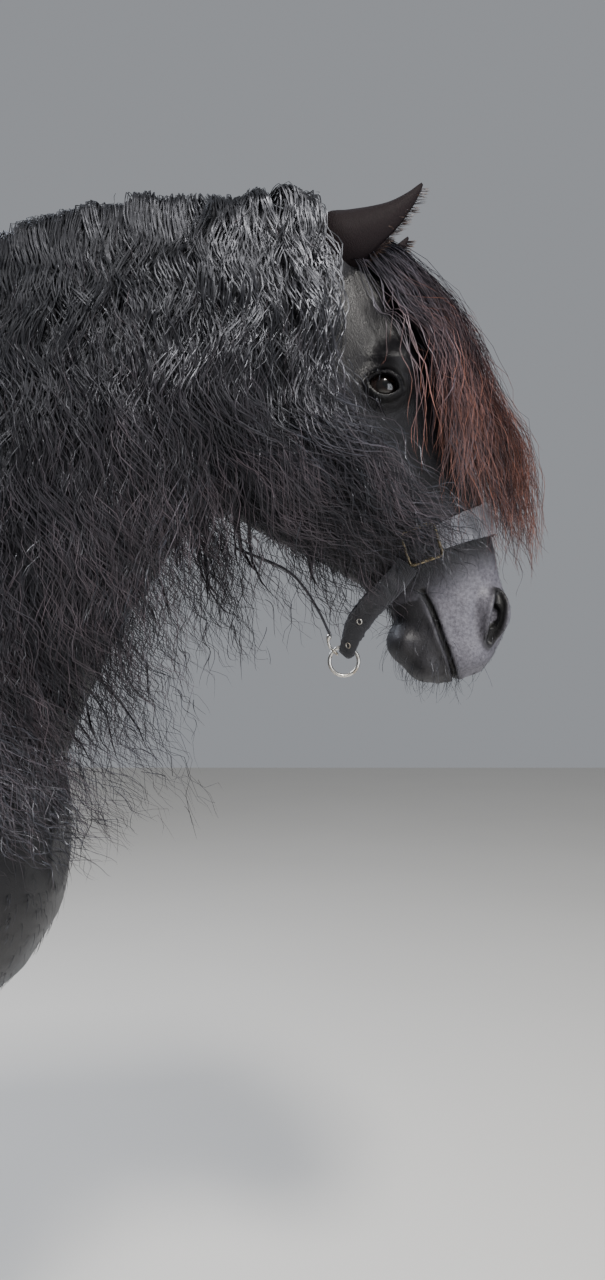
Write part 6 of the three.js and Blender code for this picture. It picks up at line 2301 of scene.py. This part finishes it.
    def square(self, side: Side, material: Material) -> Object:
        """A square wire loop with rounded corners, standing on the cheek."""
        at = self.shape.project(on_side((self.nose_u + 4, self.ring_v, 62.0), side)[None], self.shape.body, 8)
        out = unit(self.shape.gradient(self.shape.body, at))[0]
        down = unit(DOWN_FACE - out * (DOWN_FACE @ out))
        over = np.cross(out, down)
        h, r = self.square_half - self.square_wire, 5.0
        flat = []
        for n, (x, y) in enumerate(((1, 1), (-1, 1), (-1, -1), (1, -1))):
            turn = np.linspace(n, n + 1, 7) * math.pi / 2
            flat.append(columns((h - r) * x + r * np.cos(turn), (h - r) * y + r * np.sin(turn)))
        flat = np.vstack(flat)
        high = at[0] + out * (self.lift + self.web + 1.4 + self.square_wire)
        points = high + flat[:, 0:1] * down + flat[:, 1:2] * over
        spans = zip(points, np.roll(points, -1, axis=0))
        dense = np.vstack([np.linspace(a, b, 4, endpoint=False) for a, b in spans])
        wire = sweep(dense, self.square_wire, 12, True)
        return loft_object(f"square_ring_{side.word}", wire, material, True)


def repeat_tree(name: str, material: Material, part: Callable) -> Tree:
    """A tree that sets a small part on each point of its mesh, turned to the point's way out and along.

    Args:
        name: the tree's name.
        material: the part's finish.
        part: adds the part's own nodes for a length and a width, and returns its geometry.

    Returns:
        The tree.
    """
    tree = bpy.data.node_groups.new(name, "GeometryNodeTree")
    tree.interface.new_socket("Geometry", in_out="INPUT", socket_type="NodeSocketGeometry")
    for size in ("Length", "Width"):
        tree.interface.new_socket(size, in_out="INPUT", socket_type="NodeSocketFloat")
    tree.interface.new_socket("Geometry", in_out="OUTPUT", socket_type="NodeSocketGeometry")
    given = add_node(tree, "NodeGroupInput").outputs
    shape = part(tree, given["Length"], given["Width"])
    along, out = (
        add_node(tree, "GeometryNodeInputNamedAttribute", {"Name": way}, data_type="FLOAT_VECTOR").outputs[0]
        for way in ("along", "out")
    )
    turn = add_node(tree, "FunctionNodeAxesToRotation", {0: out, 1: along}, primary_axis="Z",
                    secondary_axis="X")
    places = {"Mesh": given["Geometry"], "Radius": 0.001}
    points = add_node(tree, "GeometryNodeMeshToPoints", places).outputs[0]
    placing = {"Points": points, "Instance": shape, "Rotation": turn.outputs[0]}
    placed = add_node(tree, "GeometryNodeInstanceOnPoints", placing).outputs[0]
    real = add_node(tree, "GeometryNodeRealizeInstances", {0: placed}).outputs[0]
    done = add_node(tree, "GeometryNodeSetMaterial", {"Geometry": real, "Material": material}).outputs[0]
    add_node(tree, "NodeGroupOutput", {0: done})
    return tree


def circle(tree: Tree, sides: int, radius: Socket) -> Socket:
    """A circle of a number of sides."""
    sizes = {"Resolution": sides, "Radius": radius}
    return add_node(tree, "GeometryNodeCurvePrimitiveCircle", sizes).outputs[0]


def stitch_part(tree: Tree, length: Socket, width: Socket) -> Socket:
    """A stitch: a short arc of thread that dips into the cloth at both ends."""

    def times(value: Socket, factor: float) -> Socket:
        """A number times a factor."""
        return add_node(tree, "ShaderNodeMath", {0: value, 1: factor}, operation="MULTIPLY").outputs[0]

    def point(x: Socket | float, z: Socket) -> Socket:
        """A point of the arc."""
        return add_node(tree, "ShaderNodeCombineXYZ", {0: x, 2: z}).outputs[0]

    dip = times(width, -0.6)
    start, end = (point(times(length, half), dip) for half in (-0.5, 0.5))
    ends = {"Resolution": 6, "Start": start, "Middle": point(0.0, width), "End": end}
    arc = add_node(tree, "GeometryNodeCurveQuadraticBezier", ends).outputs[0]
    thread = {"Curve": arc, "Profile Curve": circle(tree, 6, width), "Fill Caps": True}
    return add_node(tree, "GeometryNodeCurveToMesh", thread).outputs[0]


def eyelet_part(tree: Tree, length: Socket, width: Socket) -> Socket:
    """An eyelet: a rolled metal rim round a dark hole."""
    rim = {"Curve": circle(tree, 24, length), "Profile Curve": circle(tree, 8, width)}
    return add_node(tree, "GeometryNodeCurveToMesh", rim).outputs[0]


@dataclass
class Repeats:
    """Small like things set on straps by Geometry Nodes, such as stitches and eyelets."""

    name: str
    part: Callable
    length: float
    width: float
    at: list[Array] = field(default_factory=list)
    out: list[Array] = field(default_factory=list)
    along: list[Array] = field(default_factory=list)

    def add(self, at: Array, out: Array, along: Array) -> None:
        """Adds one place, with its ways out and along."""
        self.at.append(at)
        self.out.append(out)
        self.along.append(along)

    def build(self, material: Material) -> Object:
        """Runs the tree on the places and keeps the result as a plain mesh."""
        places = bpy.data.meshes.new(self.name + "_places")
        places.from_pydata(metres(np.array(self.at)).tolist(), [], [])
        store(places, "out", np.array(self.out))
        store(places, "along", np.array(self.along))
        carrier = new_object(self.name + "_places", places)
        tree = repeat_tree(self.name, material, self.part)
        modifier = carrier.modifiers.new(self.name, "NODES")
        modifier.node_group = tree
        sockets = {item.name: item.identifier for item in tree.interface.items_tree if item.in_out == "INPUT"}
        modifier[sockets["Length"]] = self.length
        modifier[sockets["Width"]] = self.width
        mesh = plain_mesh(carrier, self.name)
        mesh.polygons.foreach_set("use_smooth", np.ones(len(mesh.polygons), bool))
        return new_object(self.name, mesh)


@dataclass
class Sewing:
    """Rows of stitches on a strap: its stations, its width at each and how far it lies off them."""

    stitches: Repeats
    strap: Stations
    width: Array
    lift: float
    pitch: float = 3.4
    inset: float = 3.0

    def _at(self, place: float) -> tuple[Array, Array, Array, float]:
        """The top of the strap at a length along it, its ways out and across, and half the sewn width."""
        s = self.strap
        at, out, across = (s.between(place, values) for values in (s.at, s.out, s.across))
        half = np.interp(place, s.run(), self.width) / 2 - self.inset
        return at + self.lift * out, out, across, half

    def rows(self, first: float, last: float) -> None:
        """Two rows of stitches near the edges, between two lengths along the strap."""
        ways = self.strap.along()
        for place in np.arange(first, last, self.pitch):
            at, out, across, half = self._at(place)
            for sign in (-1, 1):
                self.stitches.add(at + sign * half * across, out, self.strap.between(place, ways))

    def bar(self, place: float) -> None:
        """A row of stitches straight across the strap."""
        at, out, across, half = self._at(place)
        for offset in np.arange(-half + self.pitch / 2, half, self.pitch):
            self.stitches.add(at + offset * across, out, across)


# Studio


@dataclass
class Studio:
    """A plain pale floor, soft lights and the camera at the photograph's place."""

    camera_at: Point = (1.080 - CENTRE_X / 1000, -1.26, 1.33)
    lens: float = 18 / 0.65

    def floor(self, material: Material) -> Object:
        """A wide floor at the soles."""
        mesh = bpy.data.meshes.new("floor")
        mesh.from_pydata([(-9, -9, 0), (9, -9, 0), (9, 9, 0), (-9, 9, 0)], [], [(0, 1, 2, 3)])
        return new_object("floor", mesh, material)

    def light(self, name: str, at: Point, aim: Point, size: float, power: float, colour: str) -> None:
        """Adds one soft area light that faces a point."""
        lamp = bpy.data.lights.new(name, "AREA")
        lamp.shape, lamp.size, lamp.energy = "SQUARE", size, power
        lamp.color = linear(colour)[:3]
        made = bpy.data.objects.new(name, lamp)
        made.location = at
        made.rotation_euler = (Vector(aim) - Vector(at)).to_track_quat("-Z", "Y").to_euler()
        bpy.context.scene.collection.objects.link(made)

    def build(self) -> None:
        """Sets the world, lights and camera."""
        scene = bpy.context.scene
        world = bpy.data.worlds.new("Pale studio")
        world.use_nodes = True
        back = world.node_tree.nodes["Background"]
        back.inputs[0].default_value = linear("#dfe3ea")
        back.inputs[1].default_value = 0.4
        scene.world = world
        self.light("key", (1.55, -2.6, 4.4), (0.7, 0, 1.5), 0.6, 285, "#fffcf6")
        self.light("rim", (-1.5, 1.6, 3.9), (0.3, 0, 1.5), 1.6, 160, "#eaf1ff")
        self.light("fill", (3.2, -2.4, 1.5), (0.8, 0, 1.4), 2.0, 80, "#f4f7ff")
        camera = bpy.data.cameras.new("camera")
        camera.sensor_width, camera.lens = 36, self.lens
        camera.clip_start, camera.clip_end = 0.05, 60
        made = bpy.data.objects.new("camera", camera)
        made.location = self.camera_at
        made.rotation_euler = (math.radians(90), 0, 0)
        scene.collection.objects.link(made)
        scene.camera = made


def ride(piece: Object, slot: str, *nodes: str) -> Object:
    """Lets a piece ride on the body and hides the CAD nodes that it stands for."""
    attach(piece, "root")
    if nodes:
        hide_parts(*nodes)
    LOG.info("%s: %d faces", piece.name, len(piece.data.polygons))
    return piece


def dress_halter(shape: HorseShape) -> None:
    """Builds the halter's straps, metal, stitches and eyelets."""
    faded = WebbingFinish("Faded nose webbing", "#55565d", "#8b8c93", 0.9).build()
    dark = WebbingFinish("Black halter webbing", "#121216", "#3a3a40", 0.55).build()
    steel = SteelFinish("Worn plated steel", "#c9c6c0", "#8f867a").build()
    brass = SteelFinish("Dull brassed steel", "#8b8068", "#4d4436").build()
    halter = Halter(shape)
    stitches = Repeats("strap_stitches", stitch_part, 0.0026, 0.00035)
    eyelets = Repeats("strap_eyelets", eyelet_part, 0.0034, 0.0009)
    sewn_at = halter.lift + 1.03 * halter.web

    nose = halter.noseband()
    nose_width = 30 + 12 * np.sin(math.pi * np.linspace(0, 1, len(nose.at)))
    ride(halter.strap("noseband", nose, nose_width, halter.lift, faded), "webbing", "halter_noseband")
    sewing, end = Sewing(stitches, nose, nose_width, sewn_at), nose.run()[-1]
    for first, last in ((6, 40), (end - 40, end - 6)):
        sewing.rows(first, last)
    for place in (8, 36, end - 36, end - 8):
        sewing.bar(place)

    head = halter.headpiece()
    head_width = np.full(len(head.at), 25.0)
    ride(halter.strap("headpiece", head, head_width, halter.lift, dark), "webbing", "halter_headpiece")
    sewing = Sewing(stitches, head, head_width, sewn_at)
    for first in (8, head.run()[-1] - 44):
        sewing.rows(first, first + 36)
        sewing.bar(first + 2)
        sewing.bar(first + 34)

    throat = halter.throat_strap()
    made = halter.strap("throat_strap", throat, np.full(len(throat.at), 22.0), halter.lift, dark)
    ride(made, "webbing", "halter_throat_strap")
    chin = halter.chin_strap()
    from_middle = np.abs(np.linspace(-1, 1, len(chin.at)))
    chin_width = mix(14, 30, np.clip((from_middle - 0.06) / 0.3, 0, 1))
    ride(halter.strap("chin_strap", chin, chin_width, 0.0, dark, 0.6), "webbing", "halter_chin_strap")
    for place in (0.27, 0.36, 0.64, 0.73):
        i = int(place * (len(chin.at) - 1))
        eyelets.add(chin.at[i] + chin.out[i] * (halter.web + 0.4), chin.out[i], chin.along()[i])
    jaw = halter.jaw_strap()
    ride(halter.strap("jaw_strap", jaw, np.full(len(jaw.at), 16.0), 0.0, dark), "webbing", "halter_jaw_strap")
    ride(halter.ring(steel), "steel", "halter_ring")
    ride(halter.hook(steel), "steel", "halter_snap")
    for side in Side:
        ride(halter.square(side, brass), "steel", f"halter_square_{side.word}")
    ride(stitches.build(ThreadFinish().build()), "webbing")
    ride(eyelets.build(steel), "steel")


def main() -> None:
    """Builds the horse in order and reports each piece."""
    logging.basicConfig(level=logging.INFO, format="%(message)s")
    shape = HorseShape()
    coat = CoatFinish().build()
    flesh = ["torso", "neck", "head"]
    flesh += [f"{part}_{leg.word}" for leg in LEGS for part in ("upper", "lower")]
    skin = ride(Skin(shape).build(coat), "coat", *flesh)
    for side in Side:
        ride(Ear(side).build(coat), "coat", f"ear_{side.word}")
    eye = EyeFinish().build()
    for side in Side:
        ride(Eye(side).build(eye), "eye", f"eye_{side.word}")
    horn = HornFinish().build()
    for leg in LEGS:
        ride(Hoof(leg).build(horn), "hoof_horn", leg.word.replace("leg", "hoof"))
    dress_halter(shape)
    black = HairFinish("Long black hair", BLACK_HAIR).build()
    red = HairFinish("Forelock hair", RED_TIPS, 0.46, 0.1, 0.4, 0.4).build()
    short = HairFinish("Short coat hair", SHORT_HAIR, scatter=0.2).build()
    brown = HairFinish("Ear hair", EAR_HAIR, scatter=0.6).build()
    for piece in ShortHair(shape, skin).build(short, brown):
        ride(piece, "coat")
    for piece in Mane(shape).build(black):
        ride(piece, "long_hair")
    for piece in Forelock(shape).build(red):
        ride(piece, "long_hair")
    for n, piece in enumerate(Tail(shape).build(black)):
        ride(piece, "long_hair", *(["tail"] if n == 0 else []))
    for leg in LEGS:
        ride(Feather(shape, leg).build(black), "long_hair")
    studio = Studio()
    studio.floor(FloorFinish().build())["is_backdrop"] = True
    studio.build()
    sizes = {"cad": [list(map(float, c)) for c in CAD_BOX], "visual": [list(map(float, c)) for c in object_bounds()]}
    LOG.info("CAD box %s, visual box %s", sizes["cad"], sizes["visual"])


if __name__ == "__main__":
    main()
